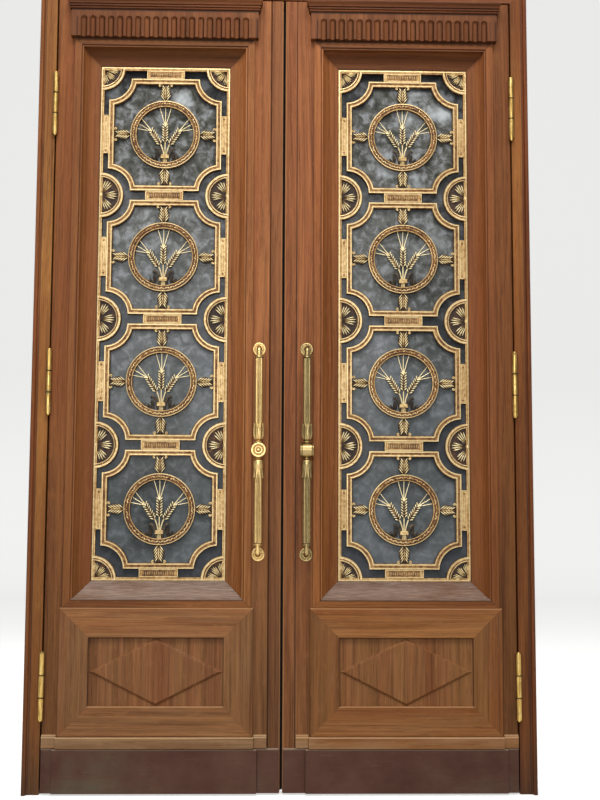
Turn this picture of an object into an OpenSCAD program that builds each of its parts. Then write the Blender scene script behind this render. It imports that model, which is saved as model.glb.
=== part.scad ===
// A pair of side-hung oak entrance doors in their frame, each leaf with a tall light
// behind a gilded openwork grille, a lozenge panel below it and a long brass pull handle.
// Millimetres. +Z is up, +X is to the right seen from outside, -Y is towards the street.
// The origin is the middle of the left jamb's foot. Both leaves open outward.

/* [Doorway] */
// Width between the two hinge seams
pair_w = 1574; // [1560:1:1620]
// Gap under the leaves
floor_gap = 6; // [5:0.5:12]
// Gap between a leaf and the frame, at the hinges, the head and the stops
seam_gap = 5; // [5:0.5:8]
// Gap between the two leaves
meeting_gap = 8; // [8:0.5:12]
// Thickness of a leaf
leaf_t = 70; // [68:1:80]
// Flat width of a leaf between its hinged edge and the moulding of the light
hinge_margin = 59.5; // [57:0.5:64]
// Flat width of a leaf between that moulding and the other leaf
meeting_margin = 99; // [97:0.5:104]
// Distance from the middle of the doorway to the joint of the closing strip
strip_x = 45; // [40:1:50]
// Depth of the groove at that joint on the left leaf
left_groove_d = 4; // [1:0.5:6]
// Depth of the groove at that joint on the right leaf
right_groove_d = 1; // [1:0.5:6]
// Chamfer on the long edges of the leaves
edge_cut = 2.5; // [1:0.5:4]

/* [Frame] */
// Width of the flat face of a jamb
jamb_face = 34; // [30:1:60]
// Width of the raised moulding along the outside of the frame
frame_mould_w = 21; // [18:1:26]
// How far that moulding stands proud of the face
frame_mould_d = 14; // [10:1:18]
// Radius of the hollow between that moulding and the face
frame_hollow_r = 8; // [5:0.5:9]
// Depth of the frame from front to back
frame_depth = 112; // [105:1:160]
// Width of the door stop behind the leaves
stop_w = 24; // [15:1:30]

/* [Light] */
// Height of the bottom of the light
light_bottom = 690.5; // [689:0.5:700]
// Spacing of the four ring medallions
ring_pitch = 432.5; // [430:0.5:435]
// Height of the centre of the lowest ring
ring_first = 930.5; // [929:0.5:933]
// Distance from the highest ring's centre to the top of the light
light_over_ring = 241; // [239:1:243]
// Width of the hollow moulding, between the light and the flat band
hollow_w = 61; // [56:1:66]
// Width of the flat band around the hollow moulding
band_w = 25; // [20:1:30]
// How far the flat band stands proud of the stiles
band_proud = 10; // [6:1:14]
// Depth of the fillet between the hollow and the band, behind the band's face
quirk_d = 3; // [2:0.5:5]
// Width of that fillet
quirk_w = 6; // [4:0.5:8]
// Depth of the front edge of the light behind the face of the leaf
lip_y = 36; // [30:1:38]
// Thickness of the lip that covers the edge of the grille
lip_t = 4; // [3.5:0.5:5]
// How far that lip overlaps the grille
lip_cover = 6; // [4:0.5:8]
// How far the stiles and rails reach in behind the hollow moulding
rebate_in = 3; // [2:0.5:3.5]
// Depth of the back of the moulding, where the glass rests
glass_y = 52; // [51:0.5:53]
// Thickness of the glass
glass_t = 6; // [4:0.5:8]
// Width of the glazing beads behind the glass
bead_w = 22; // [15:1:30]

/* [Grille] */
// Thickness of the grille
grille_t = 10; // [8:1:11]
// Width of the grille's outer border
border_w = 12; // [10:0.5:14]
// Height of the raised fillets on the bars
fillet_d = 3; // [2:0.5:3.5]
// Width of each raised fillet
fillet_w = 6; // [4:0.5:7]
// Distance from the side of the light to the octagonal frames
octagon_in = 29; // [27:0.5:32]
// Half the height of an octagonal frame
octagon_half_h = 200; // [198:0.5:202]
// Radius of its hollow corners
corner_r = 77; // [74:1:80]
// Width of the bar of an octagonal frame
bar_w = 20; // [16:0.5:22]
// Outer radius of a ring medallion
ring_r = 121; // [118:0.5:123]
// Width of the ring's band
ring_w = 22; // [18:0.5:24]
// Height of the half-round band on the ring
ring_crown = 6; // [4:0.5:7]
// Width of the tablets between the frames
tablet_w = 132; // [120:1:140]
// Height of the upright tablets
tablet_h = 137; // [120:1:150]
// Width of the flutes in the lying tablets
reed_w = 3; // [2:0.5:4]
// Outer radius of the corner and side rosettes
rosette_r = 80; // [78:0.5:82]
// Width of a rosette's rim
rim_w = 17; // [14:0.5:20]
// Radius of the boss in the middle of a rosette
boss_r = 15; // [12:0.5:18]
// Width of a rosette's leaves
petal_w = 22; // [18:0.5:26]

/* [Wheat] */
// Height of the middle of the tie above the inside of the ring
tie_up = 22; // [18:1:26]
// Width of the tie
tie_w = 27; // [22:1:32]
// Height of the tie
tie_h = 14; // [10:1:18]
// Length of an ear without its awns
ear_l = 66; // [60:1:70]
// Pairs of kernels in an ear
kernel_rows = 7; // [5:1:8]
// Lean of the two outer ears
ear_lean = 32; // [28:1:36]
// Thickness of the ears
ear_t = 6; // [5:0.5:8]
// How far the kernels stand out of an ear
kernel_d = 2; // [1:0.5:2.5]

/* [Mouldings] */
// Height of the fluted frieze
frieze_h = 96; // [88:1:100]
// How far the frieze reaches past the flat band on each side
frieze_over = 12; // [8:1:14]
// How far the frieze stands proud of the stiles
frieze_proud = 28; // [24:1:32]
// Number of flutes on each frieze
flute_count = 19; // [15:1:20]
// Distance from the end of a frieze to the middle of its last flute
frieze_end = 44; // [40:0.5:56]
// Width of a flute
flute_w = 22; // [16:1:24]
// Depth of the flutes
flute_d = 8; // [4:1:9]
// Height of the plain band above the flutes
flute_top = 24; // [18:1:30]
// Height from the bottom to the top of the cornice's front
cornice_h = 36; // [34:1:40]
// Height of the slope on top of the cornice
weather_h = 12; // [8:1:16]
// How far the cornice stands proud at its top
cornice_proud = 42; // [40:1:50]
// How far the cornice reaches past the frieze on each side, at its foot
cornice_over = 0; // [0:0.5:4]

/* [Lower panel] */
// How far the lower panel's frame reaches past the flat band on each side
apron_over = 9; // [6:0.5:10]
// Bottom of the lower panel's frame
apron_bottom = 186; // [183:0.5:190]
// Width of the boards of that frame
apron_board = 98; // [90:1:102]
// How far that frame stands proud of the stiles
apron_proud = 12; // [10:1:16]
// Chamfer along the edges of that frame
apron_cut = 2.5; // [1:0.5:4]
// Depth of the recessed panel behind the frame's face
recess_d = 14; // [12.5:0.5:18]
// How far the lozenge stands out of the recessed panel
lozenge_d = 8; // [5:1:10]
// Thickness of the recessed panel
panel_t = 26; // [20:1:34]
// Height of the band below the lower panel
base_band_h = 37; // [34:1:38]
// How far that band stands proud of the stiles
base_proud = 20; // [17:1:26]
// How far that band reaches past the frame above it on each side
base_over = 3; // [0:0.5:5]
// Height of the small blocks on the stiles above the bottom of that band
shoulder_h = 44; // [40:1:48]
// How far those blocks stand proud of the stiles
shoulder_proud = 9; // [6:1:12]
// Height of the top of the kick plates
kick_top = 148; // [140:0.5:148.5]
// How far the wide kick plate reaches past the band above it on each side
kick_over = 11; // [8:0.5:13]
// How far the wide kick plate stands proud of the stiles
kick_proud = 16; // [12:1:20]
// Thickness of the narrow kick plates
side_plate_t = 4; // [3:0.5:6]

/* [Ironwork] */
// Diameter of the hinge barrels
barrel_d = 19; // [17:0.5:19.5]
// Diameter of the hinge pins
pin_d = 10; // [8:0.5:11]
// Clearance round a hinge pin
pin_clear = 0.3; // [0.2:0.05:0.5]
// Gap between the knuckles of a hinge
knuckle_gap = 0.6; // [0.4:0.1:1]
// Height of one knuckle
knuckle_h = 72; // [66:1:76]
// Thickness of the hinge plates
plate_t = 2; // [1.5:0.25:2.2]
// Depth of the hinge plates along the edge of a leaf
plate_depth = 44; // [36:1:50]
// Height of the middle of the lowest hinges
hinge_low_z = 348.5; // [300:0.5:400]
// Height of the middle of the middle hinges
hinge_mid_z = 1355.5; // [1300:0.5:1400]
// Distance from the top of a leaf to the middle of the highest hinges
hinge_from_top = 379.5; // [340:0.5:420]
// Height of the middle of a pull handle
handle_mid_z = 1126.5; // [1100:0.5:1140]
// Distance between the two fixings of a pull handle
handle_span = 691; // [650:1:720]
// Diameter of a pull handle's shaft
handle_d = 25.5; // [22:0.5:27]
// Distance from the face of the stile to the middle of the shaft
handle_out = 52; // [48:1:58]
// Distance from the middle of the doorway to a pull handle
handle_x = 80.5; // [78:0.5:83]
// Diameter of the round plates that hold it
rose_d = 43; // [38:0.5:44]
// Thickness of those plates
rose_t = 3.5; // [3:0.5:5]
// Diameter of its bent arms
arm_d = 12; // [10:0.5:14]
// Distance from a fixing to the end of the shaft
shaft_drop = 30; // [26:1:36]
// Diameter of the drum in the middle
drum_d = 49; // [44:1:54]
// Length of that drum
drum_l = 44; // [36:1:48]

/* [Hidden] */

$fn = 48;
// Air between a piece and the groove or pocket that it sits in
fit = 0.3;
// Extra length of a cutting shape
cut = 1;
// Rounding of the outer moulding's edges
edge_round = 3;
// Half the width of a joint groove for each millimetre of its depth
groove_slope = 0.75;
// Distance from a hinge pin to the front edge of its plates
plate_in = 6;
// Room round a pane and round the recessed panels in their rebates
glass_room = 3;
// Width of the raised frame of a tablet
tablet_line = 4;
// Plain ends of the lying tablets beside their flutes
reed_margin = 17;
// How far the leaves of a rosette run into its boss and its rim
petal_lap = 2;
// Angle between the leaves of the rosettes at the sides and in the corners
side_spread = 58;
corner_spread = 30;
// Size of the raised veins against the leaves that they lie on
relief = 0.7;
// Width of the leaf that ties a ring to its frame, and radius of its curls
clip_w = 26;
clip_curl_r = 7;
// One kernel: length, width and lean, and the widths of a stem and of an awn's tip
kernel_l = 15;
kernel_w = 9;
kernel_lean = 28;
stem_w = 3.2;
awn_w = 1.6;
// Lean of the awns on the middle ear and on an outer one
middle_awns = [-14, 0, 14];
outer_awns = [7, 26, 45];
// Foot of the middle ear and of an outer one, from the middle of the ring
middle_foot = -25;
ear_foot = [16, -33];
// Size of the raised part of a kernel, and plain margin round the raised face of a tie
kernel_relief = 0.75;
tie_margin = 2.5;
// The curled leaves beside the tie: middle, radius and thickness
leaf_at = [22, -62];
leaf_r = 17;
curl_line = 2.5;
// Height and radius of the necks on both sides of the drum
neck_z = 26;
neck_r = 8.5;
// Height of the upper cup and of the lower one
tulip_h = 60;
bell_h = 64;
// How far the shaft runs into a cup
cup_lap = 2;
// Radius of the flutes along the shaft
shaft_flute_r = 2.6;
// Radius of the bend of the arms
arm_bend = 17;
// Extra diameter of the bend, which takes the ends of both arms
elbow_swell = 1;
collar_h = 5;
collar_lip = 5;

pin_x = pair_w / 2;
pin_y = -barrel_d / 2 - 0.5;
light_top = ring_first + 3 * ring_pitch + light_over_ring;
light_mid = (light_top + light_bottom) / 2;
surround_w = hollow_w + band_w;
// Half the width of the light, to the inner edge of its moulding, and the middle of the leaf's panels
light_half_w = (pin_x - seam_gap / 2 - meeting_gap / 2 - hinge_margin - meeting_margin) / 2 - surround_w;
surround_half_w = light_half_w + surround_w;
panel_x = meeting_gap / 2 + meeting_margin + surround_half_w;
octagon_half_w = light_half_w - octagon_in;
surround_bottom = light_bottom - surround_w;
frieze_bottom = light_top + surround_w;
frieze_half_w = surround_half_w + frieze_over;
flute_pitch = 2 * (frieze_half_w - frieze_end) / (flute_count - 1);
cornice_bottom = frieze_bottom + frieze_h;
leaf_top = cornice_bottom + cornice_h + weather_h;
hinge_z = [hinge_low_z, hinge_mid_z, leaf_top - hinge_from_top];

jamb_w = jamb_face + frame_mould_w;
jamb_in = pin_x + seam_gap / 2;
head_z = leaf_top + seam_gap;
frame_top = head_z + jamb_w;
foot_x = jamb_in + jamb_w / 2;
leaf_hinge_edge = pin_x - seam_gap / 2 - panel_x;
leaf_meeting_edge = panel_x - meeting_gap / 2;
strip_local_x = panel_x - strip_x;
// The closing edge is planed back so that its rear corner clears the other leaf
closing_bevel = leaf_t * (leaf_t - 2 * pin_y) / (2 * pin_x) + 0.5;

opening_half_w = light_half_w + hollow_w - rebate_in;
opening_top = light_top + hollow_w - rebate_in;
opening_bottom = light_bottom - hollow_w + rebate_in;
apron_half_w = surround_half_w + apron_over;
kick_half_w = apron_half_w + base_over + kick_over;
apron_top = surround_bottom;
apron_mid = (apron_top + apron_bottom) / 2;
apron_half_h = (apron_top - apron_bottom) / 2;
panel_half_w = opening_half_w;
panel_half_h = apron_half_h - (apron_half_w - panel_half_w);
field_half_w = apron_half_w - apron_board;
field_half_h = apron_half_h - apron_board;
panel_y = recess_d - apron_proud;
grille_y = lip_y + lip_t;
pocket_half_w = light_half_w + lip_cover;
base_band_bottom = apron_bottom - base_band_h;
handle_local_x = panel_x - handle_x;
// Reach of the cutting shapes beyond what they cut
reach = leaf_t + frame_depth;

oak = [0.55, 0.35, 0.22];
oak_light = [0.62, 0.43, 0.27];
gilt = [0.86, 0.73, 0.42];
brass = [0.80, 0.68, 0.45];
bronze = [0.33, 0.24, 0.20];
glass_blue = [0.45, 0.51, 0.56];

// Puts the doorway's middle, on the leaf faces, where the left foot is the origin
module in_frame() {
    translate([foot_x, -frame_depth / 2, 0]) children();
}

// A leaf is drawn for the left side about the middle of its panels, and mirrored
module on_leaf(side) {
    in_frame() translate([side * panel_x, 0, 0]) mirror([side > 0 ? 1 : 0, 0, 0]) children();
}

// A flat outline in width and height, given a depth from y0 backwards
module upright(y0, depth) {
    translate([0, y0 + depth, 0]) rotate([90, 0, 0]) linear_extrude(depth) children();
}

// A profile in depth (x) and height (y), run along the width between two ends
module run_across(x0, x1) {
    translate([x0, 0, 0]) rotate([90, 0, 90]) linear_extrude(x1 - x0) children();
}

function arc(cx, cy, r, a0, a1, steps) =
    [for (i = [0 : steps]) let (a = a0 + (a1 - a0) * i / steps) [cx + r * cos(a), cy + r * sin(a)]];

// A leaf shape between two points, tip_to_tip along Y, as two arcs
module lens_2d(length, width) {
    r = (length * length + width * width) / (4 * width);
    intersection_for (s = [-1, 1]) translate([s * (r - width / 2), 0]) circle(r);
}

// Section of a jamb: width away from the leaf, and depth
module jamb_section() {
    rest = leaf_t + seam_gap;
    front = edge_round - frame_mould_d;
    rise = jamb_face + frame_hollow_r;
    polygon(concat(
        [[0, 0]],
        arc(jamb_face, -frame_hollow_r, frame_hollow_r, 90, 0, 6),
        arc(rise + edge_round, front, edge_round, 180, 270, 3),
        arc(jamb_w - edge_round, front, edge_round, 270, 360, 3),
        [[jamb_w, frame_depth], [-stop_w, frame_depth], [-stop_w, rest], [0, rest]]
    ));
}

// The part of the frame that belongs to the head, above both mitres
module head_zone() {
    out = jamb_w + stop_w;
    in = 2 * stop_w;
    upright(-frame_mould_d - cut, reach) polygon([
        [-jamb_in - out, head_z + out], [-jamb_in + in, head_z - in],
        [jamb_in - in, head_z - in], [jamb_in + out, head_z + out]
    ]);
}

module jamb_on(side) {
    color(oak) in_frame() difference() {
        mirror([side > 0 ? 0 : 1, 0, 0])
            translate([jamb_in, 0, 0]) linear_extrude(frame_top) jamb_section();
        head_zone();
    }
}

module frame_head() {
    color(oak) in_frame() intersection() {
        translate([-jamb_in - jamb_w, 0, head_z])
            rotate([90, 0, 90]) linear_extrude(2 * (jamb_in + jamb_w))
                mirror([1, -1]) jamb_section();
        head_zone();
    }
}

function knuckle_z(k) = -1.5 * knuckle_h - knuckle_gap + k * (knuckle_h + knuckle_gap);

// One knuckle with its plate; toward is +1 for the frame and -1 for the leaf
module knuckle(toward) {
    difference() {
        union() {
            cylinder(d = barrel_d, h = knuckle_h);
            translate([toward > 0 ? seam_gap / 2 - plate_t : -seam_gap / 2, plate_in, 0])
                cube([plate_t, plate_depth, knuckle_h]);
        }
        if (toward < 0)
            translate([0, 0, -cut]) cylinder(d = pin_d + 2 * pin_clear, h = knuckle_h + 2 * cut);
    }
}

// The frame's share of the hinges: two knuckles, the pin and its ball ends
module frame_hinges_on(side) {
    color(brass) in_frame() mirror([side > 0 ? 0 : 1, 0, 0]) for (z = hinge_z)
        translate([pin_x, pin_y, z]) {
            for (k = [0, 2]) translate([0, 0, knuckle_z(k)]) knuckle(1);
            translate([0, 0, knuckle_z(0)]) cylinder(d = pin_d, h = -2 * knuckle_z(0));
            for (s = [-1, 1]) translate([0, 0, -s * knuckle_z(0)]) sphere(d = pin_d + 2);
        }
}

module leaf_knuckles_on(side) {
    color(brass) in_frame() mirror([side > 0 ? 0 : 1, 0, 0]) for (z = hinge_z)
        translate([pin_x, pin_y, z + knuckle_z(1)]) knuckle(-1);
}

module hinge_stile() {
    translate([0, 0, floor_gap]) linear_extrude(leaf_top - floor_gap) polygon([
        [-leaf_hinge_edge, edge_cut], [-leaf_hinge_edge + edge_cut, 0],
        [-opening_half_w, 0], [-opening_half_w, leaf_t], [-leaf_hinge_edge, leaf_t]
    ]);
}

// The closing strip is jointed to the meeting stile with a groove along the joint
module meeting_stile(groove_d) {
    half = groove_slope * groove_d;
    translate([0, 0, floor_gap]) linear_extrude(leaf_top - floor_gap) polygon([
        [opening_half_w, 0],
        [strip_local_x - half, 0], [strip_local_x, groove_d], [strip_local_x + half, 0],
        [leaf_meeting_edge - edge_cut, 0], [leaf_meeting_edge, edge_cut],
        [leaf_meeting_edge - closing_bevel, leaf_t],
        [opening_half_w, leaf_t]
    ]);
}

module rail(z0, z1) {
    translate([-opening_half_w, 0, z0]) cube([2 * opening_half_w, leaf_t, z1 - z0]);
}

module top_rail() {
    rail(opening_top, leaf_top);
}

module middle_rail() {
    rail(apron_mid + panel_half_h, opening_bottom);
}

module bottom_rail() {
    rail(floor_gap, apron_mid - panel_half_h);
}

// Section of the light's moulding: distance out from the light (x) and depth (y)
hollow_front = quirk_d - band_proud;
hollow_line = concat(
    [[0, grille_y]],
    [for (i = [0 : 12]) let (a = 90 * i / 12)
        [(hollow_w - quirk_w) * sin(a), hollow_front + (lip_y - hollow_front) * cos(a)]],
    [[hollow_w, hollow_front]]
);
seat_line = [[hollow_w - rebate_in, 0], [hollow_w - rebate_in, glass_y],
    [lip_cover, glass_y], [lip_cover, grille_y]];

module surround_section() {
    polygon(concat(
        hollow_line,
        [[hollow_w, -band_proud], [surround_w, -band_proud], [surround_w, 0]],
        seat_line
    ));
}

// What the head member takes, above its two mitres
module surround_head_zone() {
    upright(-reach / 2, reach) polygon([
        [-light_half_w - 2 * surround_w, light_top + 2 * surround_w],
        [-light_half_w + surround_w, light_top - surround_w],
        [light_half_w - surround_w, light_top - surround_w],
        [light_half_w + 2 * surround_w, light_top + 2 * surround_w]
    ]);
}

// What the sill and the strip below it take, between the upright members
module surround_foot_zone(gap) {
    half = light_half_w + hollow_w - gap;
    upright(-reach / 2, reach) polygon([
        [-half, surround_bottom - cut], [-half, light_bottom - hollow_w],
        [-half + 2 * hollow_w, light_bottom + hollow_w],
        [half - 2 * hollow_w, light_bottom + hollow_w],
        [half, light_bottom - hollow_w], [half, surround_bottom - cut]
    ]);
}

module light_surround() {
    // The strip at the foot laps into the upright members
    strip_half = light_half_w + hollow_w + fit;
    for (s = [0, 1]) mirror([s, 0, 0]) difference() {
        translate([light_half_w, 0, surround_bottom])
            linear_extrude(frieze_bottom - surround_bottom) surround_section();
        surround_head_zone();
        surround_foot_zone(0);
    }
    intersection() {
        translate([-surround_half_w, 0, light_top])
            rotate([90, 0, 90]) linear_extrude(2 * surround_half_w)
                mirror([1, -1]) surround_section();
        surround_head_zone();
    }
    translate([-strip_half, -band_proud, surround_bottom])
        cube([2 * strip_half, band_proud, band_w - fit]);
}

// The bottom member of the moulding, which has weathered grey
module weathered_sill() {
    intersection() {
        translate([0, 0, light_bottom]) run_across(-surround_half_w, surround_half_w)
            polygon([for (p = concat(hollow_line, [[hollow_w, 0]], seat_line)) [p[1], -p[0]]]);
        surround_foot_zone(fit);
    }
}

module glass() {
    half = opening_half_w - glass_room;
    translate([-half, glass_y, opening_bottom + glass_room])
        cube([2 * half, glass_t, opening_top - opening_bottom - 2 * glass_room]);
}

module glazing_beads() {
    h = opening_top - opening_bottom;
    translate([0, 0, opening_bottom]) difference() {
        upright(glass_y + glass_t, leaf_t - glass_y - glass_t)
            translate([-opening_half_w, 0]) square([2 * opening_half_w, h]);
        upright(glass_y, leaf_t)
            translate([-opening_half_w + bead_w, bead_w])
                square([2 * (opening_half_w - bead_w), h - 2 * bead_w]);
    }
}

// Outline of an octagonal frame, set in from its outer edge
module octagon(inset) {
    difference() {
        square([2 * (octagon_half_w - inset), 2 * (octagon_half_h - inset)], center = true);
        for (sx = [-1, 1], sz = [-1, 1])
            translate([sx * octagon_half_w, sz * octagon_half_h]) circle(corner_r + inset);
    }
}

module octagon_band(from, to) {
    difference() {
        octagon(from);
        octagon(to);
    }
}

module ring_2d(outer, inner) {
    difference() {
        circle(outer);
        circle(inner);
    }
}

// A rectangular outline of a given width of line
module border_2d(w, h, line) {
    difference() {
        square([w, h], center = true);
        square([w - 2 * line, h - 2 * line], center = true);
    }
}

ring_z = [for (i = [0 : 3]) ring_first + i * ring_pitch];
between_z = [for (i = [0 : 2]) ring_first + (i + 0.5) * ring_pitch];
gap_h = ring_pitch - 2 * octagon_half_h;
// Lying tablets: the middle height and the height of each, from the lowest up
end_low = ring_z[0] - octagon_half_h - light_bottom - border_w;
end_high = light_top - border_w - ring_z[3] - octagon_half_h;
lying = concat(
    [[light_bottom + border_w + end_low / 2, end_low]],
    [for (z = between_z) [z, gap_h]],
    [[light_top - border_w - end_high / 2, end_high]]
);
inner_w = light_half_w - border_w;
// The middle of the upright tablets, between the octagons and the border
upright_x = (octagon_half_w + inner_w) / 2;
rim_in = rosette_r - rim_w;

module light_clip(over) {
    translate([0, light_mid])
        square([2 * (light_half_w + over), light_top - light_bottom + 2 * over], center = true);
}

module rosette_places() {
    for (s = [-1, 1], z = between_z) translate([s * light_half_w, z]) rotate(s * 90) children();
}

module corner_places() {
    for (s = [-1, 1]) {
        translate([s * light_half_w, light_top]) rotate(s * 135) children();
        translate([s * light_half_w, light_bottom]) rotate(s * 45) children();
    }
}

// The leaves of a rosette, fanned about the middle one
module petals_2d(spread, size) {
    length = rim_in - boss_r + 2 * petal_lap;
    for (a = [-spread, 0, spread]) rotate(a)
        translate([0, boss_r - petal_lap + length / 2]) lens_2d(size * length, size * petal_w);
}

module grille_bars() {
    inner_h = light_top - light_bottom - 2 * border_w;
    difference() {
        light_clip(lip_cover);
        translate([0, light_mid]) square([2 * inner_w, inner_h], center = true);
    }
    for (z = ring_z) {
        translate([0, z]) octagon_band(0, bar_w);
        for (s = [-1, 1]) translate([s * upright_x, z])
            square([inner_w - octagon_half_w + cut, tablet_h], center = true);
    }
    for (t = lying) translate([0, t[0]]) square([tablet_w, t[1] + cut], center = true);
    intersection() {
        light_clip(lip_cover);
        union() {
            rosette_places() rosette_2d(side_spread);
            corner_places() rosette_2d(corner_spread);
        }
    }
    clip_places() clip_2d();
}

// Raised fillets along both edges of every bar, frames and flutes of the tablets, and veins
module grille_fillets() {
    difference() {
        light_clip(0);
        light_clip(-fillet_w);
    }
    for (z = ring_z) translate([0, z]) {
        octagon_band(0, fillet_w);
        octagon_band(bar_w - fillet_w, bar_w);
        for (s = [-1, 1]) translate([s * upright_x, 0])
            border_2d(2 * (upright_x - octagon_half_w), tablet_h, tablet_line);
    }
    for (t = lying) translate([0, t[0]]) border_2d(tablet_w, t[1], tablet_line);
    intersection() {
        light_clip(0);
        union() {
            rosette_places() rosette_relief(side_spread);
            corner_places() rosette_relief(corner_spread);
        }
    }
    clip_places() translate([0, clip_l / 2]) lens_2d(clip_l * relief, clip_w * relief);
    tablet_reeds();
}

// A rosette: its rim, its boss and the leaves between them
module rosette_2d(spread) {
    ring_2d(rosette_r, rim_in);
    circle(boss_r);
    petals_2d(spread, 1);
}

module rosette_relief(spread) {
    ring_2d(rosette_r, rosette_r - fillet_w);
    circle(boss_r * relief);
    petals_2d(spread, relief);
}

// Small flutes side by side in the lying tablets
module tablet_reeds() {
    room = tablet_w - 2 * reed_margin;
    count = floor(room / (2 * reed_w));
    for (t = lying, i = [0 : count - 1])
        translate([(i - (count - 1) / 2) * 2 * reed_w, t[0]])
            square([reed_w, t[1] - 4 * tablet_line], center = true);
}

// A leaf that ties a ring to its frame, with two curls at the frame
module clip_2d() {
    translate([0, clip_l / 2]) lens_2d(clip_l + clip_w / 3, clip_w);
    for (s = [-1, 1])
        translate([s * (clip_w / 2 - 1), clip_l - clip_curl_r]) circle(clip_curl_r);
}

// Both lengths are the same to a few millimetres, and the longer one runs on behind the bar
clip_l = max(octagon_half_w, octagon_half_h) - bar_w - ring_r + ring_w / 3;

module clip_places() {
    for (z = ring_z, a = [0 : 90 : 270])
        translate([0, z]) rotate(a) translate([0, ring_r - ring_w / 6]) children();
}

module grille() {
    upright(grille_y, grille_t) grille_bars();
    upright(grille_y - fillet_d, fillet_d + cut) grille_fillets();
    for (z = ring_z) translate([0, grille_y, z]) rotate([90, 0, 0]) {
        translate([0, 0, -grille_t]) linear_extrude(grille_t) ring_2d(ring_r, ring_r - ring_w);
        rotate_extrude($fn = 96) translate([ring_r - ring_w / 2, 0]) intersection() {
            circle(ring_w / 2 - 1);
            translate([-ring_w / 2, 0]) square([ring_w, ring_crown]);
        }
    }
}

ring_in = ring_r - ring_w;
tie_z = tie_up - ring_in;
kernel_step = (ear_l - kernel_l) / (kernel_rows - 1);

// The kernels of an ear in pairs, from its foot at the origin
module kernels_2d(size) {
    for (i = [0 : kernel_rows - 1], s = [-1, 1])
        translate([s * kernel_w / 2, kernel_l / 2 + i * kernel_step - s]) rotate(-s * kernel_lean)
            lens_2d(size * kernel_l, size * kernel_w);
}

// One ear from its foot: kernels, a stem through them and three awns
module ear_2d(awns) {
    kernels_2d(1);
    translate([-stem_w / 2, -stem_w]) square([stem_w, ear_l]);
    for (a = awns) translate([0, ear_l - kernel_l]) rotate(-a)
        polygon([[-stem_w / 2, 0], [-awn_w / 2, ring_in], [awn_w / 2, ring_in], [stem_w / 2, 0]]);
}

// The three ears of a sheaf, each placed at its foot
module ears_at() {
    translate([0, middle_foot]) children(0);
    for (s = [-1, 1]) translate([s * ear_foot[0], ear_foot[1]]) rotate(-s * ear_lean)
        mirror([s < 0 ? 1 : 0, 0]) children(1);
}

module sheaf_2d() {
    intersection() {
        circle(ring_in + fit);
        union() {
            ears_at() {
                ear_2d(middle_awns);
                ear_2d(outer_awns);
            }
            translate([-stem_w / 2, tie_z]) square([stem_w, ear_l]);
            for (s = [-1, 1]) slant_stem(s);
            for (s = [-1, 1]) translate([s * leaf_at[0], leaf_at[1]]) difference() {
                circle(leaf_r);
                translate([-s * leaf_r / 5, leaf_r / 4]) circle(leaf_r - curl_line);
            }
        }
    }
    translate([0, tie_z]) square([tie_w, tie_h], center = true);
    for (s = [-1, 0, 1]) translate([s * tie_w / 4, -ring_in + tie_up / 2])
        square([stem_w + 1, tie_up + stem_w], center = true);
}

// A slanting stem from the tie to the foot of an outer ear
module slant_stem(s) {
    x0 = s * tie_w / 5;
    x1 = s * ear_foot[0];
    polygon([[x0 - stem_w / 2, tie_z], [x0 + stem_w / 2, tie_z],
        [x1 + stem_w / 2, ear_foot[1]], [x1 - stem_w / 2, ear_foot[1]]]);
}

module wheat_ears() {
    back = grille_y + grille_t - kernel_d;
    for (z = ring_z) translate([0, 0, z]) {
        intersection() {
            upright(back - ear_t, ear_t) sheaf_2d();
            translate([0, back, 0]) rotate([90, 0, 0])
                cylinder(r = ring_in - fit, h = 3 * grille_t, center = true, $fn = 96);
        }
        upright(back - ear_t - kernel_d, kernel_d + cut / 2) {
            ears_at() {
                kernels_2d(kernel_relief);
                kernels_2d(kernel_relief);
            }
            translate([0, tie_z]) square([tie_w - 2 * tie_margin, tie_h - 2 * tie_margin], center = true);
        }
    }
}

// Section of a board of the lower frame: distance out from the field (x) and depth (y)
module apron_section() {
    seat = apron_board - apron_half_w + panel_half_w - fit;
    polygon([
        [0, panel_y], [0, apron_cut - apron_proud], [apron_cut, -apron_proud],
        [apron_board - apron_cut, -apron_proud], [apron_board, apron_cut - apron_proud],
        [apron_board, 0], [seat, 0], [seat, panel_y]
    ]);
}

// What the lying boards take, between the mitres
module apron_zone(s) {
    over = 2 * apron_board;
    far = field_half_h + over;
    near = field_half_h - field_half_h / 2;
    upright(-reach / 2, reach) translate([0, apron_mid]) mirror([0, s > 0 ? 0 : 1]) polygon([
        [-field_half_w - over, far], [-field_half_w + field_half_h / 2, near],
        [field_half_w - field_half_h / 2, near], [field_half_w + over, far]
    ]);
}

module lower_frame() {
    for (s = [0, 1]) mirror([s, 0, 0]) difference() {
        translate([field_half_w, 0, apron_bottom])
            linear_extrude(2 * apron_half_h) apron_section();
        apron_zone(1);
        apron_zone(-1);
    }
    for (s = [-1, 1]) intersection() {
        translate([-apron_half_w, 0, apron_mid]) mirror([0, 0, s > 0 ? 0 : 1])
            translate([0, 0, field_half_h]) rotate([90, 0, 90])
                linear_extrude(2 * apron_half_w) mirror([1, -1]) apron_section();
        apron_zone(s);
    }
}

// The recessed panel with its raised lozenge, bevelled all round
module lozenge_panel() {
    half_w = field_half_w - fit;
    half_h = field_half_h - fit;
    inradius = half_w * half_h / sqrt(half_w * half_w + half_h * half_h);
    upright(panel_y, panel_t) translate([0, apron_mid])
        square([2 * panel_half_w - glass_room, 2 * panel_half_h - glass_room], center = true);
    translate([0, panel_y + fit, apron_mid]) rotate([90, 0, 0])
        linear_extrude(lozenge_d + fit, scale = 1 - lozenge_d / inradius)
            polygon([[-half_w, 0], [0, half_h], [half_w, 0], [0, -half_h]]);
}

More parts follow.
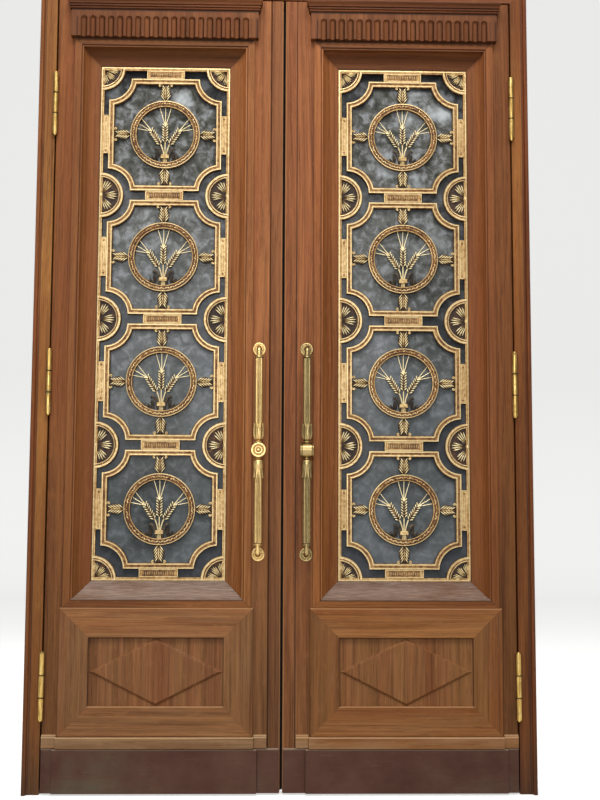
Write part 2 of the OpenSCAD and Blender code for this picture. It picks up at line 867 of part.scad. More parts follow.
module base_band() {
    half = apron_half_w + base_over;
    run_across(-half, half) polygon([
        [0, base_band_bottom], [-base_proud, base_band_bottom],
        [-base_proud, apron_bottom - edge_cut], [edge_cut - base_proud, apron_bottom],
        [0, apron_bottom]
    ]);
}

side_top = kick_top + side_plate_t / 2;

// Small blocks at the foot of both stiles, in line with the base band
module shoulder(x0, x1) {
    z0 = side_top + fit;
    z1 = base_band_bottom + shoulder_h;
    run_across(x0, x1) polygon([
        [0, z0], [-shoulder_proud, z0], [-shoulder_proud, z1 - shoulder_proud],
        [-shoulder_proud / 3, z1], [0, z1]
    ]);
}

module base_band_all() {
    half = apron_half_w + base_over + fit;
    base_band();
    shoulder(-leaf_hinge_edge, -half);
    shoulder(half, strip_local_x - groove_slope * left_groove_d);
}

// A plate with a chamfered top edge, standing on the gap under the leaf
module kick_plate(x0, x1, thick, top) {
    run_across(x0, x1) polygon([
        [0, floor_gap], [-thick, floor_gap], [-thick, top - edge_cut],
        [edge_cut - thick, top], [0, top]
    ]);
}

module kick_plates() {
    kick_plate(-kick_half_w, kick_half_w, kick_proud, kick_top);
    kick_plate(-leaf_hinge_edge, -kick_half_w - fit, side_plate_t, side_top);
    kick_plate(kick_half_w + fit, leaf_meeting_edge - edge_cut, side_plate_t, side_top);
}

// A round-nosed cutter for one flute, from its foot
module flute_cutter(r, h) {
    rotate_extrude() {
        square([r, h]);
        translate([0, h]) intersection() {
            circle(r);
            square(2 * r);
        }
    }
}

module fluted_frieze() {
    r = (flute_w * flute_w / 4 + flute_d * flute_d) / (2 * flute_d);
    straight = frieze_h - flute_top - flute_w / 2;
    difference() {
        translate([-frieze_half_w, -frieze_proud, frieze_bottom])
            cube([2 * frieze_half_w, frieze_proud, frieze_h]);
        for (i = [0 : flute_count - 1])
            translate([(i - (flute_count - 1) / 2) * flute_pitch,
                    -frieze_proud + flute_d - r, frieze_bottom - cut])
                flute_cutter(r, straight + cut);
    }
}

// Profile of the cornice as [how far it stands proud, height above its foot]
cornice_line = concat(
    arc(frieze_proud + 2, 3.5, 3.5, -90, 90, 8),
    [[frieze_proud + 2, 8.5], [frieze_proud + 7, 9.5], [frieze_proud + 7, 14.5],
     [frieze_proud + 4, 15.5], [frieze_proud + 4, 17], [frieze_proud + 9, 18],
     [frieze_proud + 9, 21], [frieze_proud + 10, 25], [cornice_proud - 1, cornice_h - 6],
     [cornice_proud, cornice_h - 4], [cornice_proud, cornice_h]]
);

// The cornice turns both corners, so its front and its ends share one profile
module cornice() {
    foot = frieze_half_w + cornice_over - frieze_proud;
    translate([0, 0, cornice_bottom]) intersection() {
        run_across(-2 * frieze_half_w, 2 * frieze_half_w) polygon(concat(
            [[0, 0]], [for (p = cornice_line) [-p[0], p[1]]], [[0, cornice_h + weather_h]]
        ));
        upright(-reach / 2, reach) polygon(concat(
            [for (p = cornice_line) [foot + p[0], p[1]]],
            [[foot, cornice_h + weather_h], [-foot, cornice_h + weather_h]],
            [for (i = [len(cornice_line) - 1 : -1 : 0])
                [-foot - cornice_line[i][0], cornice_line[i][1]]]
        ));
    }
}

// The shaft between a cup and a fixing, with flutes all round
module fluted_shaft(z0, z1) {
    translate([0, 0, z0]) linear_extrude(z1 - z0) difference() {
        circle(d = handle_d);
        for (a = [0 : 30 : 330]) rotate(a) translate([handle_d / 2 + shaft_flute_r / 2, 0])
            circle(shaft_flute_r);
    }
}

// Turned cups: the upper is a tulip that tapers down, the lower a bell with a domed top
module cup_upper() {
    rotate_extrude() polygon([
        [0, neck_z], [neck_r, neck_z], [neck_r, neck_z + 5], [neck_r * 1.4, neck_z + 12],
        [neck_r * 1.9, neck_z + 22], [neck_r * 2.15, neck_z + 32], [neck_r * 2.1, neck_z + 46],
        [neck_r * 2.05, neck_z + 56], [neck_r * 2.25, neck_z + 66], [handle_d / 2, neck_z + tulip_h],
        [0, neck_z + tulip_h]
    ]);
}

module cup_lower() {
    rotate_extrude() polygon([
        [0, -neck_z], [neck_r, -neck_z], [neck_r, -neck_z - 5], [neck_r * 1.7, -neck_z - 7],
        [neck_r * 2.1, -neck_z - 12], [neck_r * 2.15, -neck_z - 20], [neck_r * 1.9, -neck_z - 40],
        [neck_r * 1.85, -neck_z - 56], [neck_r * 2.2, -neck_z - 71], [handle_d / 2, -neck_z - bell_h],
        [0, -neck_z - bell_h]
    ]);
}

// The drum, its axis along Z, with a raised rim and ring on both ends
module drum() {
    r = drum_d / 2;
    for (m = [0, 1]) mirror([0, 0, m]) rotate_extrude() polygon([
        [0, 0], [r, 0], [r, drum_l / 2 - 1], [r - 1, drum_l / 2], [r - 5, drum_l / 2],
        [r - 6, drum_l / 2 - 2], [r - 9, drum_l / 2 - 2], [r - 10, drum_l / 2],
        [r - 13, drum_l / 2], [r - 14, drum_l / 2 - 2], [5, drum_l / 2 - 2], [4, drum_l / 2],
        [0, drum_l / 2 + 1]
    ]);
}

// A bent arm from the end of the shaft back to its plate on the stile
module arm() {
    translate([0, -handle_out, handle_span / 2 - shaft_drop])
        cylinder(d = arm_d, h = shaft_drop - arm_bend + cut);
    translate([0, arm_bend - handle_out, handle_span / 2 - arm_bend]) rotate([0, 90, 0])
        intersection() {
            rotate_extrude() translate([arm_bend, 0]) circle(d = arm_d + elbow_swell);
            translate([-2 * arm_bend, -2 * arm_bend, -arm_d])
                cube([2 * arm_bend, 2 * arm_bend, 2 * arm_d]);
        }
    translate([0, 0, handle_span / 2]) rotate([90, 0, 0])
        cylinder(d = arm_d, h = handle_out - arm_bend + cut);
}

// The round plate of a fixing, with a raised ring and a boss
module rose() {
    rotate([90, 0, 0]) rotate_extrude() polygon([
        [0, 0], [rose_d / 2, 0], [rose_d / 2, rose_t - 1], [rose_d / 2 - 1.5, rose_t],
        [rose_d / 4 + 2, rose_t], [rose_d / 4 + 1, rose_t + 2], [rose_d / 4 - 1, rose_t + 2],
        [rose_d / 4 - 2, rose_t + 0.5], [arm_d / 2, rose_t + 0.5], [0, rose_t + 0.5]
    ]);
}

// On the left leaf the drum's axis points out of the door, on the right leaf it lies along it
module pull_handle(drum_turn) {
    shaft_end = handle_span / 2 - shaft_drop;
    translate([handle_local_x, 0, handle_mid_z]) {
        translate([0, -handle_out, 0]) {
            cylinder(r = neck_r - 1, h = 2 * neck_z + 2, center = true);
            rotate(drum_turn) rotate([90, 0, 0]) drum();
            cup_upper();
            cup_lower();
            fluted_shaft(neck_z + tulip_h - cup_lap, shaft_end);
            fluted_shaft(-shaft_end, -neck_z - bell_h + cup_lap);
            for (s = [-1, 1]) translate([0, 0, s * shaft_end])
                cylinder(d = arm_d + 2 * collar_lip, h = collar_h, center = true);
        }
        for (m = [0, 1]) mirror([0, 0, m]) {
            arm();
            translate([0, 0, handle_span / 2]) rose();
        }
    }
}

module leaf_piece(name, side) {
    if (name == "hinge_stile") color(oak) on_leaf(side) hinge_stile();
    if (name == "meeting_stile")
        color(oak) on_leaf(side) meeting_stile(side < 0 ? left_groove_d : right_groove_d);
    if (name == "top_rail") color(oak) on_leaf(side) top_rail();
    if (name == "middle_rail") color(oak) on_leaf(side) middle_rail();
    if (name == "bottom_rail") color(oak) on_leaf(side) bottom_rail();
    if (name == "cornice") color(oak) on_leaf(side) cornice();
    if (name == "fluted_frieze") color(oak) on_leaf(side) fluted_frieze();
    if (name == "light_surround") color(oak) on_leaf(side) light_surround();
    if (name == "weathered_sill") color(oak_light) on_leaf(side) weathered_sill();
    if (name == "glass") color(glass_blue) on_leaf(side) glass();
    if (name == "glazing_beads") color(oak) on_leaf(side) glazing_beads();
    if (name == "grille") color(gilt) on_leaf(side) grille();
    if (name == "wheat_ears") color(gilt) on_leaf(side) wheat_ears();
    if (name == "lower_frame") color(oak_light) on_leaf(side) lower_frame();
    if (name == "lozenge_panel") color(oak_light) on_leaf(side) lozenge_panel();
    if (name == "base_band") color(oak_light) on_leaf(side) base_band_all();
    if (name == "kick_plates") color(bronze) on_leaf(side) kick_plates();
    if (name == "pull_handle") color(brass) on_leaf(side) pull_handle(side < 0 ? 0 : 90);
}

LEAF_PIECES = [
    "hinge_stile", "meeting_stile", "top_rail", "middle_rail", "bottom_rail", "cornice",
    "fluted_frieze", "light_surround", "weathered_sill", "glass", "glazing_beads", "grille",
    "wheat_ears", "lower_frame", "lozenge_panel", "base_band", "kick_plates", "pull_handle"
];

jamb_on(-1);  // left_jamb
jamb_on(1);  // right_jamb
frame_head();
frame_hinges_on(-1);  // left_frame_hinges
frame_hinges_on(1);  // right_frame_hinges
leaf_knuckles_on(-1);  // left_leaf_knuckles
leaf_knuckles_on(1);  // right_leaf_knuckles
for (name = LEAF_PIECES) {
    leaf_piece(name, -1);
    leaf_piece(name, 1);
}
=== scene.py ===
from math import cos, hypot, log, pi, radians, sin, sqrt
from random import Random

import bmesh
import bpy
from mathutils import Matrix, Vector


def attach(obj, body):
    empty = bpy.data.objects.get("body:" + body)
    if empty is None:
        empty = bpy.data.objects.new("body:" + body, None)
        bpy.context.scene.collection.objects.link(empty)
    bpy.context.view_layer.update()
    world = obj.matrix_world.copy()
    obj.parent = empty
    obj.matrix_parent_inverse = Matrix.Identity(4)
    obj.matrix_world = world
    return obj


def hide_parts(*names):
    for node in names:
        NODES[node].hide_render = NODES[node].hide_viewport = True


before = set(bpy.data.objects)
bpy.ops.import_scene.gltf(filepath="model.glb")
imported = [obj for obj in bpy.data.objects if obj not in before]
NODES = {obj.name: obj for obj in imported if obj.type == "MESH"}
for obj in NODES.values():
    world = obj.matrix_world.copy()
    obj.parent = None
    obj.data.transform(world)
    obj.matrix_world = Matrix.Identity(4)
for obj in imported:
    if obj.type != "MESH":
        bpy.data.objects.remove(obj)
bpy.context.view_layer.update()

LEAVES = {"left": -1, "right": 1}
QUARTER = pi / 2
TURN = 2 * pi

# Places of the part's source, in metres
MIDDLE_X = 0.817
FACE_Y = -0.056
LEAF_X = 0.414
CORNICE_Z = 2.651
HINGE_Z = (0.3485, 1.3555, 2.3195)
KNUCKLE_JOINT = 0.0363
FLUTE_PITCH = 0.031
JAMB_FACE_EDGE = 0.8255
STRIP_EDGE = 0.045
# The lower frame's recess: middle height, half width and half height
RECESS = (0.39525, 0.222, 0.11125)

# The same in millimetres, in a leaf's own frame: x from its middle towards the meeting edge,
# y into the door
RING_Z = [930.5 + 432.5 * i for i in range(4)]
BETWEEN_Z = [z + 216.25 for z in RING_Z[:3]]
LIGHT_HALF = 225
LIGHT_BOTTOM, LIGHT_TOP = 690.5, 2469
OCT_W, OCT_H, CORNER_R, BAR = 196, 200, 77, 20
RING_R, RING_IN = 121, 99
BORDER = 12
BACK, PLATE, FILLET = 50, 40, 37
WHEAT_BACK = 48
HANDLE_X, HANDLE_Y, HANDLE_Z, HANDLE_HALF = 333.5, -52, 1126.5, 345.5
LEAF_EDGE, LEAF_FOOT, LEAF_HEAD = 408.5, 7.5, 2690

# The camera fitted to the photograph: radians, metres from the middle of the leaves' face, pixels
YAW, PITCH, ROLL = 0.02562, 0.10122, 0.00413
EYE = (-0.0481, -4.14792, 0.87812)
FOCAL_LENGTH, PHOTO_WIDTH = 1233.464, 600
SENSOR_WIDTH = 36


def srgb(r, g, b):
    """A colour's numbers in the photograph as Blender's linear values."""
    out = []
    for v in (r, g, b):
        v /= 255
        out.append(v / 12.92 if v <= 0.04045 else ((v + 0.055) / 1.055) ** 2.4)
    return (*out, 1)


def grey(v):
    return (v, v, v, 1)


def tinted(colour, factor):
    return tuple(min(1, c * f) for c, f in zip(colour[:3], factor)) + (1,)


def fractions(count):
    """The numbers from 0 to 1 in count steps."""
    return [k / count for k in range(count + 1)]


BLACK, NEAR_BLACK = grey(0.012), grey(0.02)


def polar(x, z, angle, along, out=0):
    """The place along and beside a direction from (x, z). An angle is 0 upwards, then clockwise."""
    return x + sin(angle) * along + cos(angle) * out, z + cos(angle) * along - sin(angle) * out


def rectangle(x, z, half_width, half_height):
    return [(x + sx * half_width, z + sz * half_height)
            for sx, sz in ((-1, -1), (1, -1), (1, 1), (-1, 1))]


# -------- camera, floor and light

def link(obj):
    bpy.context.scene.collection.objects.link(obj)
    return obj


def add_mesh(name, points, faces, material):
    mesh = bpy.data.meshes.new(name)
    mesh.from_pydata(points, [], faces)
    mesh.shade_smooth()
    mesh.materials.append(material)
    return link(bpy.data.objects.new(name, mesh))


def add_camera():
    data = bpy.data.cameras.new("photo_camera")
    data.sensor_fit = "HORIZONTAL"
    data.sensor_width = SENSOR_WIDTH
    data.lens = FOCAL_LENGTH * SENSOR_WIDTH / PHOTO_WIDTH
    data.clip_start, data.clip_end = 0.05, 100
    cam = link(bpy.data.objects.new("photo_camera", data))
    forward = Vector((sin(YAW) * cos(PITCH), cos(YAW) * cos(PITCH), sin(PITCH)))
    right = Vector((cos(YAW), -sin(YAW), 0))
    up = right.cross(forward)
    turn = Matrix((cos(ROLL) * right + sin(ROLL) * up, cos(ROLL) * up - sin(ROLL) * right, -forward))
    place = Matrix.Translation((EYE[0] + MIDDLE_X, EYE[1] + FACE_Y, EYE[2]))
    cam.matrix_world = place @ turn.transposed().to_4x4()
    bpy.context.scene.camera = cam


def area_light(name, place, target, size, power, colour=(1, 1, 1)):
    data = bpy.data.lights.new(name, "AREA")
    data.shape = "RECTANGLE"
    data.size, data.size_y = size
    data.energy = power
    data.color = colour
    lamp = link(bpy.data.objects.new(name, data))
    lamp.location = place
    lamp.rotation_euler = (Vector(target) - Vector(place)).to_track_quat("-Z", "Y").to_euler()


def pale_stage(name, colour):
    """A plain pale surface that the camera and reflections see as nearly white."""
    g = Graph(name)
    ray = g.new("ShaderNodeLightPath").outputs
    seen = g.larger(g.larger(ray["Is Camera Ray"], ray["Is Glossy Ray"]), ray["Is Transmission Ray"])
    plain = g.new("ShaderNodeBsdfDiffuse", Color=colour)
    shaded = g.new("ShaderNodeBsdfDiffuse", Color=srgb(150, 147, 142))
    glow = g.new("ShaderNodeEmission", Color=srgb(246, 246, 244), Strength=0.62)
    lit = g.fill(g.new("ShaderNodeAddShader"), (plain.outputs[0], glow.outputs[0]))[0]
    mix = g.fill(g.new("ShaderNodeMixShader"), (seen, shaded.outputs[0], lit))[0]
    g.put(mix, g.out.inputs["Surface"])
    return g.mat


def add_stage():
    """A floor that rises behind the doors in one smooth sweep."""
    left, right, front, back, top = -30, 32, -30, 11, 20
    radius, sink = 3, 0.0005
    line = [(front, 0)]
    for t in fractions(24):
        a = QUARTER * t
        line.append((back + radius * sin(a), radius - radius * cos(a)))
    line.append((back + radius, top))
    verts = [(x, y, z - sink) for y, z in line for x in (left, right)]
    faces = [(2 * i, 2 * i + 1, 2 * i + 3, 2 * i + 2) for i in range(len(line) - 1)]
    add_mesh("floor", verts, faces, pale_stage("pale_floor", srgb(214, 213, 210)))


def add_world():
    """A pale sky, softer from below than from above."""
    world = bpy.data.worlds.new("studio")
    bpy.context.scene.world = world
    world.use_nodes = True
    nodes, links = world.node_tree.nodes, world.node_tree.links
    sky, span = nodes["Background"], nodes.new("ShaderNodeMapRange")
    sky.inputs["Color"].default_value = (0.95, 0.97, 1, 1)
    sep = nodes.new("ShaderNodeSeparateXYZ")
    links.new(nodes.new("ShaderNodeTexCoord").outputs["Generated"], sep.inputs[0])
    links.new(sep.outputs["Z"], span.inputs[0])
    for i, v in enumerate((-0.3, 0.7, 0.16, 0.62)):
        span.inputs[i + 1].default_value = v
    links.new(span.outputs[0], sky.inputs["Strength"])


def add_lights():
    area_light("key", (0.8, -3, 5.3), (0.82, 0, 1.6), (4.4, 1.6), 190, (1, 0.985, 0.96))
    area_light("fill", (0.2, -6.5, 2.6), (0.82, 0, 1.2), (3.4, 2.6), 150, (0.97, 0.985, 1))
    area_light("rear", (0.2, 3, 4.2), (0.8, 0, 1.2), (2.6, 2), 90)


# -------- materials

class Graph:
    """Builds one material's nodes. colour is its base colour so far."""

    def __init__(self, name):
        self.mat = bpy.data.materials.new(name)
        self.mat.use_nodes = True
        self.tree = self.mat.node_tree
        self.tree.nodes.clear()
        self.out = self.new("ShaderNodeOutputMaterial")
        self.colour = None

    def put(self, value, socket):
        if isinstance(value, bpy.types.NodeSocket):
            self.tree.links.new(value, socket)
        else:
            socket.default_value = value

    def fill(self, node, values, first=0):
        """Sets or links a node's inputs, from input number first on."""
        for i, value in enumerate(values):
            self.put(value, node.inputs[first + i])
        return node.outputs

    def new(self, kind, props=None, **inputs):
        node = self.tree.nodes.new(kind)
        for key, value in (props or {}).items():
            setattr(node, key, value)
        for key, value in inputs.items():
            self.put(value, node.inputs[key.replace("_", " ")])
        return node

    def math(self, op, *values):
        return self.fill(self.new("ShaderNodeMath", {"operation": op}), values)[0]

    def add(self, a, b):
        return self.math("ADD", a, b)

    def sub(self, a, b):
        return self.math("SUBTRACT", a, b)

    def mul(self, a, b):
        return self.math("MULTIPLY", a, b)

    def larger(self, a, b):
        return self.math("MAXIMUM", a, b)

    def apart(self, a, b):
        """How far two values are from each other."""
        return self.math("ABSOLUTE", self.sub(a, b))

    def mix(self, factor, a, b, blend="MIX"):
        node = self.new("ShaderNodeMix", {"data_type": "RGBA", "blend_type": blend}, Factor=factor)
        return self.fill(node, (a, b), 6)[2]

    def select(self, factor, a, b):
        """Vector a where factor is 0 and vector b where it is 1."""
        node = self.new("ShaderNodeMix", {"data_type": "VECTOR"}, Factor=factor)
        return self.fill(node, (a, b), 4)[1]

    def lay(self, factor, colour):
        """Lays another colour over the one so far."""
        self.colour = self.mix(factor, self.colour, colour)

    def scale(self, colour, factor=1):
        """Multiplies the colour so far by another."""
        self.colour = self.mix(factor, self.colour, colour, "MULTIPLY")

    def line(self, distance, near, far, strength, colour=BLACK):
        """Lays a colour where distance is under near, fading out by far."""
        self.lay(self.span(distance, near, far, strength, 0), colour)

    def object_point(self):
        return self.new("ShaderNodeTexCoord").outputs["Object"]

    def place(self, shift=(0, 0, 0), turn=(0, 0, 0)):
        node = self.new("ShaderNodeMapping", Location=shift, Rotation=turn, Vector=self.object_point())
        return node.outputs[0]

    def spot(self):
        """The x and the z of a spot, in metres."""
        x, _, z = self.fill(self.new("ShaderNodeSeparateXYZ"), (self.object_point(),))
        return x, z

    def stretch(self, vector, scale):
        node = self.new("ShaderNodeVectorMath", {"operation": "MULTIPLY"})
        return self.fill(node, (vector, scale))[0]

    def noise(self, vector, scale, detail, rough, distortion=0):
        """Noise from 0 to 1. scale is one number, or one for each axis."""
        if isinstance(scale, tuple):
            vector, scale = self.stretch(vector, scale), 1
        node = self.new("ShaderNodeTexNoise", Scale=scale, Detail=detail, Roughness=rough,
                        Distortion=distortion, Vector=vector)
        return node.outputs["Fac"]

    def chance(self, number):
        """A random value from 0 to 1 for each whole number."""
        return self.new("ShaderNodeTexWhiteNoise", {"noise_dimensions": "1D"}, W=number).outputs["Value"]

    def span(self, value, lo, hi, a=0, b=1):
        """Turns lo to hi into a to b, clamped."""
        node = self.new("ShaderNodeMapRange", {"clamp": True})
        return self.fill(node, (value, lo, hi, a, b))[0]

    def ramp(self, value, stops):
        node = self.new("ShaderNodeValToRGB")
        elements = node.color_ramp.elements
        while len(elements) < len(stops):
            elements.new(0.5)
        for element, (place, colour) in zip(elements, stops):
            element.position, element.color = place, colour
        return self.fill(node, (value,))[0]

    def greys(self, value, stops):
        return self.ramp(value, [(place, grey(v)) for place, v in stops])

    def bump(self, height, distance, strength):
        return self.new("ShaderNodeBump", Strength=strength, Distance=distance, Height=height).outputs[0]

    def finish(self, **inputs):
        shader = self.new("ShaderNodeBsdfPrincipled", Base_Color=self.colour, **inputs)
        self.put(shader.outputs[0], self.out.inputs["Surface"])
        return self.mat


class Oak(Graph):
    """Open-grained oak. grain is the axis it runs along. mitre (x, z, half width, half height) is
    the inner edge of a mitred frame, where the grain runs along each member."""

    def __init__(self, leaf, member, base, seed, grain="z", mitre=None, contrast=1):
        super().__init__(f"{leaf}_{member}_oak")
        self.leaf, self.base, self.mitre = leaf, base, mitre
        rng = Random(seed)
        shift = [rng.uniform(-9, 9) for _ in range(3)]
        self.upright = self.place(shift)
        lying = self.place(shift, (0, QUARTER, 0))
        self.x, self.z = self.spot()
        self.off = self.apart(self.x, MIDDLE_X)
        self.along = self.upright if grain == "z" else lying
        if mitre:
            x, z, half_width, half_height = mitre
            self.out_x = self.sub(self.apart(self.x, x), half_width)
            self.out_z = self.sub(self.apart(self.z, z), half_height)
            self.across = self.math("GREATER_THAN", self.out_z, self.out_x)
            self.along = self.select(self.across, self.upright, lying)
        warp = self.new("ShaderNodeTexNoise", Scale=1, Detail=2,
                        Vector=self.stretch(self.along, (2.4, 2.4, 0.7)))
        warped = self.new("ShaderNodeVectorMath", {"operation": "MULTIPLY_ADD"})
        v = self.fill(warped, (warp.outputs["Color"], (0.05, 0.05, 0), self.along))[0]
        self.figure = self.noise(v, (30, 30, 0.7), 3, 0.55)
        self.streak = self.noise(v, (105, 105, 1.7), 4, 0.66)
        self.pores = self.span(self.noise(v, (400, 400, 15), 2, 0.55), 0.56, 0.68)
        flecks = self.noise(v, (95, 95, 24), 1, 0.4)
        hue = self.noise(v, (17, 17, 0.45), 2, 0.5)
        lines = self.noise(v, (250, 250, 1.5), 2, 0.55)
        tone = self.add(self.mul(self.figure, 0.45), self.mul(self.streak, 0.55))
        c = contrast
        self.colour = self.ramp(tone, [
            (0.37, tinted(base, (1 - 0.38 * c, 1 - 0.43 * c, 1 - 0.46 * c))),
            (0.49, tinted(base, (1.02, 1.01, 1))),
            (0.62, tinted(base, (1 + 0.38 * c, 1 + 0.42 * c, 1 + 0.42 * c)))])
        # Redder and browner boards, dark streaks
        self.tint(self.span(hue, 0.5, 0.64, 0, 0.55), (1.02, 0.8, 0.74))
        self.tint(self.span(hue, 0.36, 0.5, 0.45, 0), (1.02, 1.08, 0.92))
        self.tint(self.span(lines, 0.56, 0.68, 0, 0.5 * c), (0.46, 0.38, 0.32))
        # Rays of quarter-sawn oak, and the dark open pores
        self.tint(self.span(flecks, 0.62, 0.72, 0, 0.3 * c), (1.35, 1.36, 1.32))
        self.tint(self.mul(self.pores, 0.36 * c), (0.36, 0.3, 0.26))
        # Broad uneven tone of old varnish
        self.cloud = self.noise(self.upright, (2.2, 2.2, 0.9), 4, 0.55)
        self.tint(self.span(self.cloud, 0.35, 0.7, 0, 0.22), (0.8, 0.74, 0.7))

    def tint(self, factor, ratio):
        """Lays the stain over it with its red, green and blue scaled."""
        self.lay(factor, tinted(self.base, ratio))

    def shade_foot(self, low):
        """Painted shade: takes it towards low near the ground."""
        ratio = [min(b / a, 1) for a, b in zip(self.base[:3], low[:3])]
        self.scale((*ratio, 1), self.span(self.z, 0.25, 1.35, 1, 0))

    def bleach(self, strength):
        faded = self.noise(self.along, (16, 16, 3), 5, 0.6)
        self.lay(self.span(faded, 0.4, 0.66, 0, strength), srgb(172, 142, 108))

    def paint_side_shade(self, strength):
        """Painted shade: darkens the wood towards the jambs."""
        self.tint(self.span(self.off, 0.12, 0.76, 0, strength), (0.4, 0.34, 0.32))

    def mitre_joint(self, strength):
        self.line(self.apart(self.out_x, self.out_z), 0.0003, 0.0016, strength)

    def done(self):
        height = self.sub(self.mul(self.streak, 0.5), self.mul(self.pores, 0.6))
        return self.finish(Roughness=self.span(self.streak, 0.3, 0.7, 0.44, 0.6),
                           Normal=self.bump(height, 0.0006, 0.55), Specular_IOR_Level=0.12)


# How the moulding round a light darkens outwards from the gilding, by shares of its width: painted shade
# beside the gilding and in the quirk, painted light on the outer part of the hollow, and the head in
# painted shadow, darkest under the frieze
MOULDING_WIDTH = 0.09
SIDE_SHADE = ((0, 0.4), (0.035, 0.92), (0.5, 1.03), (0.63, 1.18), (0.655, 1.2), (0.668, 0.34),
              (0.692, 0.34), (0.705, 1.08), (0.93, 1.02), (0.955, 0.75))
HEAD_SHADE = ((0, 0.16), (0.045, 0.4), (0.12, 0.56), (0.3, 0.5), (0.44, 0.46), (0.6, 0.78),
              (0.655, 0.85), (0.668, 0.22), (0.692, 0.22), (0.705, 0.74), (0.84, 0.74), (0.9, 0.16),
              (0.97, 0.06))
# How much the jambs' faces are lightened, by shares of their height
JAMB_HEIGHT = 2.8
JAMB_LIGHTENING = {
    "left": ((0, 0), (0.2, 0.1), (0.33, 0.3), (0.42, 0.85), (0.48, 0.25), (0.53, 0.25),
             (0.6, 0.75), (0.76, 0.2), (0.9, 0)),
    "right": ((0, 0), (0.35, 0.2), (0.5, 0.3), (0.6, 0.6), (0.75, 1), (0.84, 0.8),
              (0.92, 0.1)),
}
# The shade within one flute, from one arris to the next
FLUTE_SHADE = ((0.14, 1), (0.18, 0.72), (0.24, 1), (0.34, 1), (0.66, 0.95), (0.74, 0.34),
               (0.82, 0.34), (0.87, 1))


def moulding_light_shade_and_joints(w):
    """Painted shade in the quirks and on the head, painted light on the hollow, and dark mitre joints.
    """
    out = w.mul(w.larger(w.out_x, w.out_z), 1 / MOULDING_WIDTH)
    above = w.mul(w.across, w.math("GREATER_THAN", w.z, w.mitre[1]))
    w.scale(w.mix(above, w.greys(out, SIDE_SHADE), w.greys(out, HEAD_SHADE)))
    w.mitre_joint(0.55)


def lower_frame_tones_and_light(w):
    """The top board is the lightest and the joints are dark, with painted shadow along the recess's top
    and side edges and painted highlights along the recess's bottom edge and the top board's upper edge.
    """
    head = w.mul(w.across, w.math("GREATER_THAN", w.z, w.mitre[1]))
    foot = w.sub(w.across, head)
    out = w.larger(w.out_x, w.out_z)
    w.scale(grey(0.86), w.sub(1, w.across))
    w.scale((1.16, 1.14, 1.1, 1), head)
    w.mitre_joint(0.16)
    # Painted shadow inside the recess's top and side edges
    w.lay(w.mul(w.span(out, 0, 0.0025, 0.55, 0), w.sub(1, foot)), NEAR_BLACK)
    # Painted highlight on the recess's bottom edge
    w.lay(w.mul(w.span(out, 0.0012, 0.0036, 0.45, 0), foot), srgb(190, 152, 108))
    # Painted highlight on the top board's upper edge
    w.lay(w.mul(w.span(out, 0.0935, 0.096, 0, 0.4), head), srgb(190, 150, 106))


def meeting_stile_joint_and_light(w):
    """The closing strip's joint is a dark line, partly the joint and partly painted shade of the strip's
    step, and both edges of the gap carry a painted highlight. The left leaf's strip is darker than its
    stile."""
    if w.leaf == "left":
        w.scale((0.72, 0.7, 0.74, 1), w.span(w.off, 0.0435, 0.0455, 1, 0))
    # The joint, with painted shade of the strip's step
    w.line(w.apart(w.off, STRIP_EDGE), 0.0008, 0.0028, 0.75)
    # Painted highlight along each edge of the gap
    w.line(w.off, 0.0065, 0.0085, 0.42, srgb(190, 140, 96))


def frieze_stains_light_and_shade(w):
    """Each flute was stained a little differently, with painted light down its middle and painted shade
    beside its arris, and a painted shadow lies under the cornice.
    """
    middle = MIDDLE_X + LEAVES[w.leaf] * LEAF_X
    turn = w.math("MULTIPLY_ADD", w.x, 1 / FLUTE_PITCH, 0.5 - middle / FLUTE_PITCH)
    within = w.math("FRACT", turn)
    fluted = w.span(w.z, 2.619, 2.628, 1, 0)
    w.scale((0.66, 0.56, 0.5, 1), w.mul(w.mul(w.chance(w.math("FLOOR", turn)), fluted), 0.9))
    # Painted light down the middle of each flute
    w.tint(w.mul(w.span(w.apart(within, 0.42), 0.1, 0.26, 0.3, 0), fluted), (1.5, 1.5, 1.45))
    # Painted shade beside each arris
    w.scale(w.greys(within, FLUTE_SHADE), fluted)
    # Painted shadow under the cornice
    w.lay(w.span(w.z, CORNICE_Z - 0.009, CORNICE_Z - 0.003, 0, 0.8), BLACK)


def wear_panel(w):
    """The panel's field is glued up of boards."""
    board = w.math("FLOOR", w.mul(w.add(w.x, w.mul(w.figure, 0.01)), 1 / 0.052))
    w.scale((0.76, 0.66, 0.6, 1), w.mul(w.chance(board), 0.75))


def base_band_highlights(w):
    """Painted highlights along the ledges of the base band."""
    lower = w.mul(w.span(w.z, 0.1815, 0.1835), w.math("LESS_THAN", w.z, 0.1863))
    ledges = w.add(lower, w.span(w.z, 0.1895, 0.191))
    w.lay(w.mul(ledges, 0.42), srgb(206, 170, 128))


def jamb_tones_and_shade(w):
    """The face is lighter in bands between the foot and the head and the outer moulding is redder, with
    painted shade in the quirk at the face's edge and darker towards the ground.
    """
    face = w.math("LESS_THAN", w.off, JAMB_FACE_EDGE)
    lightened = w.add(w.span(w.cloud, 0.35, 0.65, -0.25, 0.25),
                     w.greys(w.mul(w.z, 1 / JAMB_HEIGHT), JAMB_LIGHTENING[w.leaf]))
    w.scale((1.62, 1.95, 1.85, 1), w.mul(face, lightened))
    w.scale((0.92, 0.84, 1.02, 1), w.sub(1, face))
    # Painted shade in the quirk at the edge of the face
    w.line(w.apart(w.off, JAMB_FACE_EDGE), 0.0008, 0.0022, 0.62, NEAR_BLACK)
    # Darker towards the ground
    w.line(w.z, 0.02, 0.22, 0.45, NEAR_BLACK)


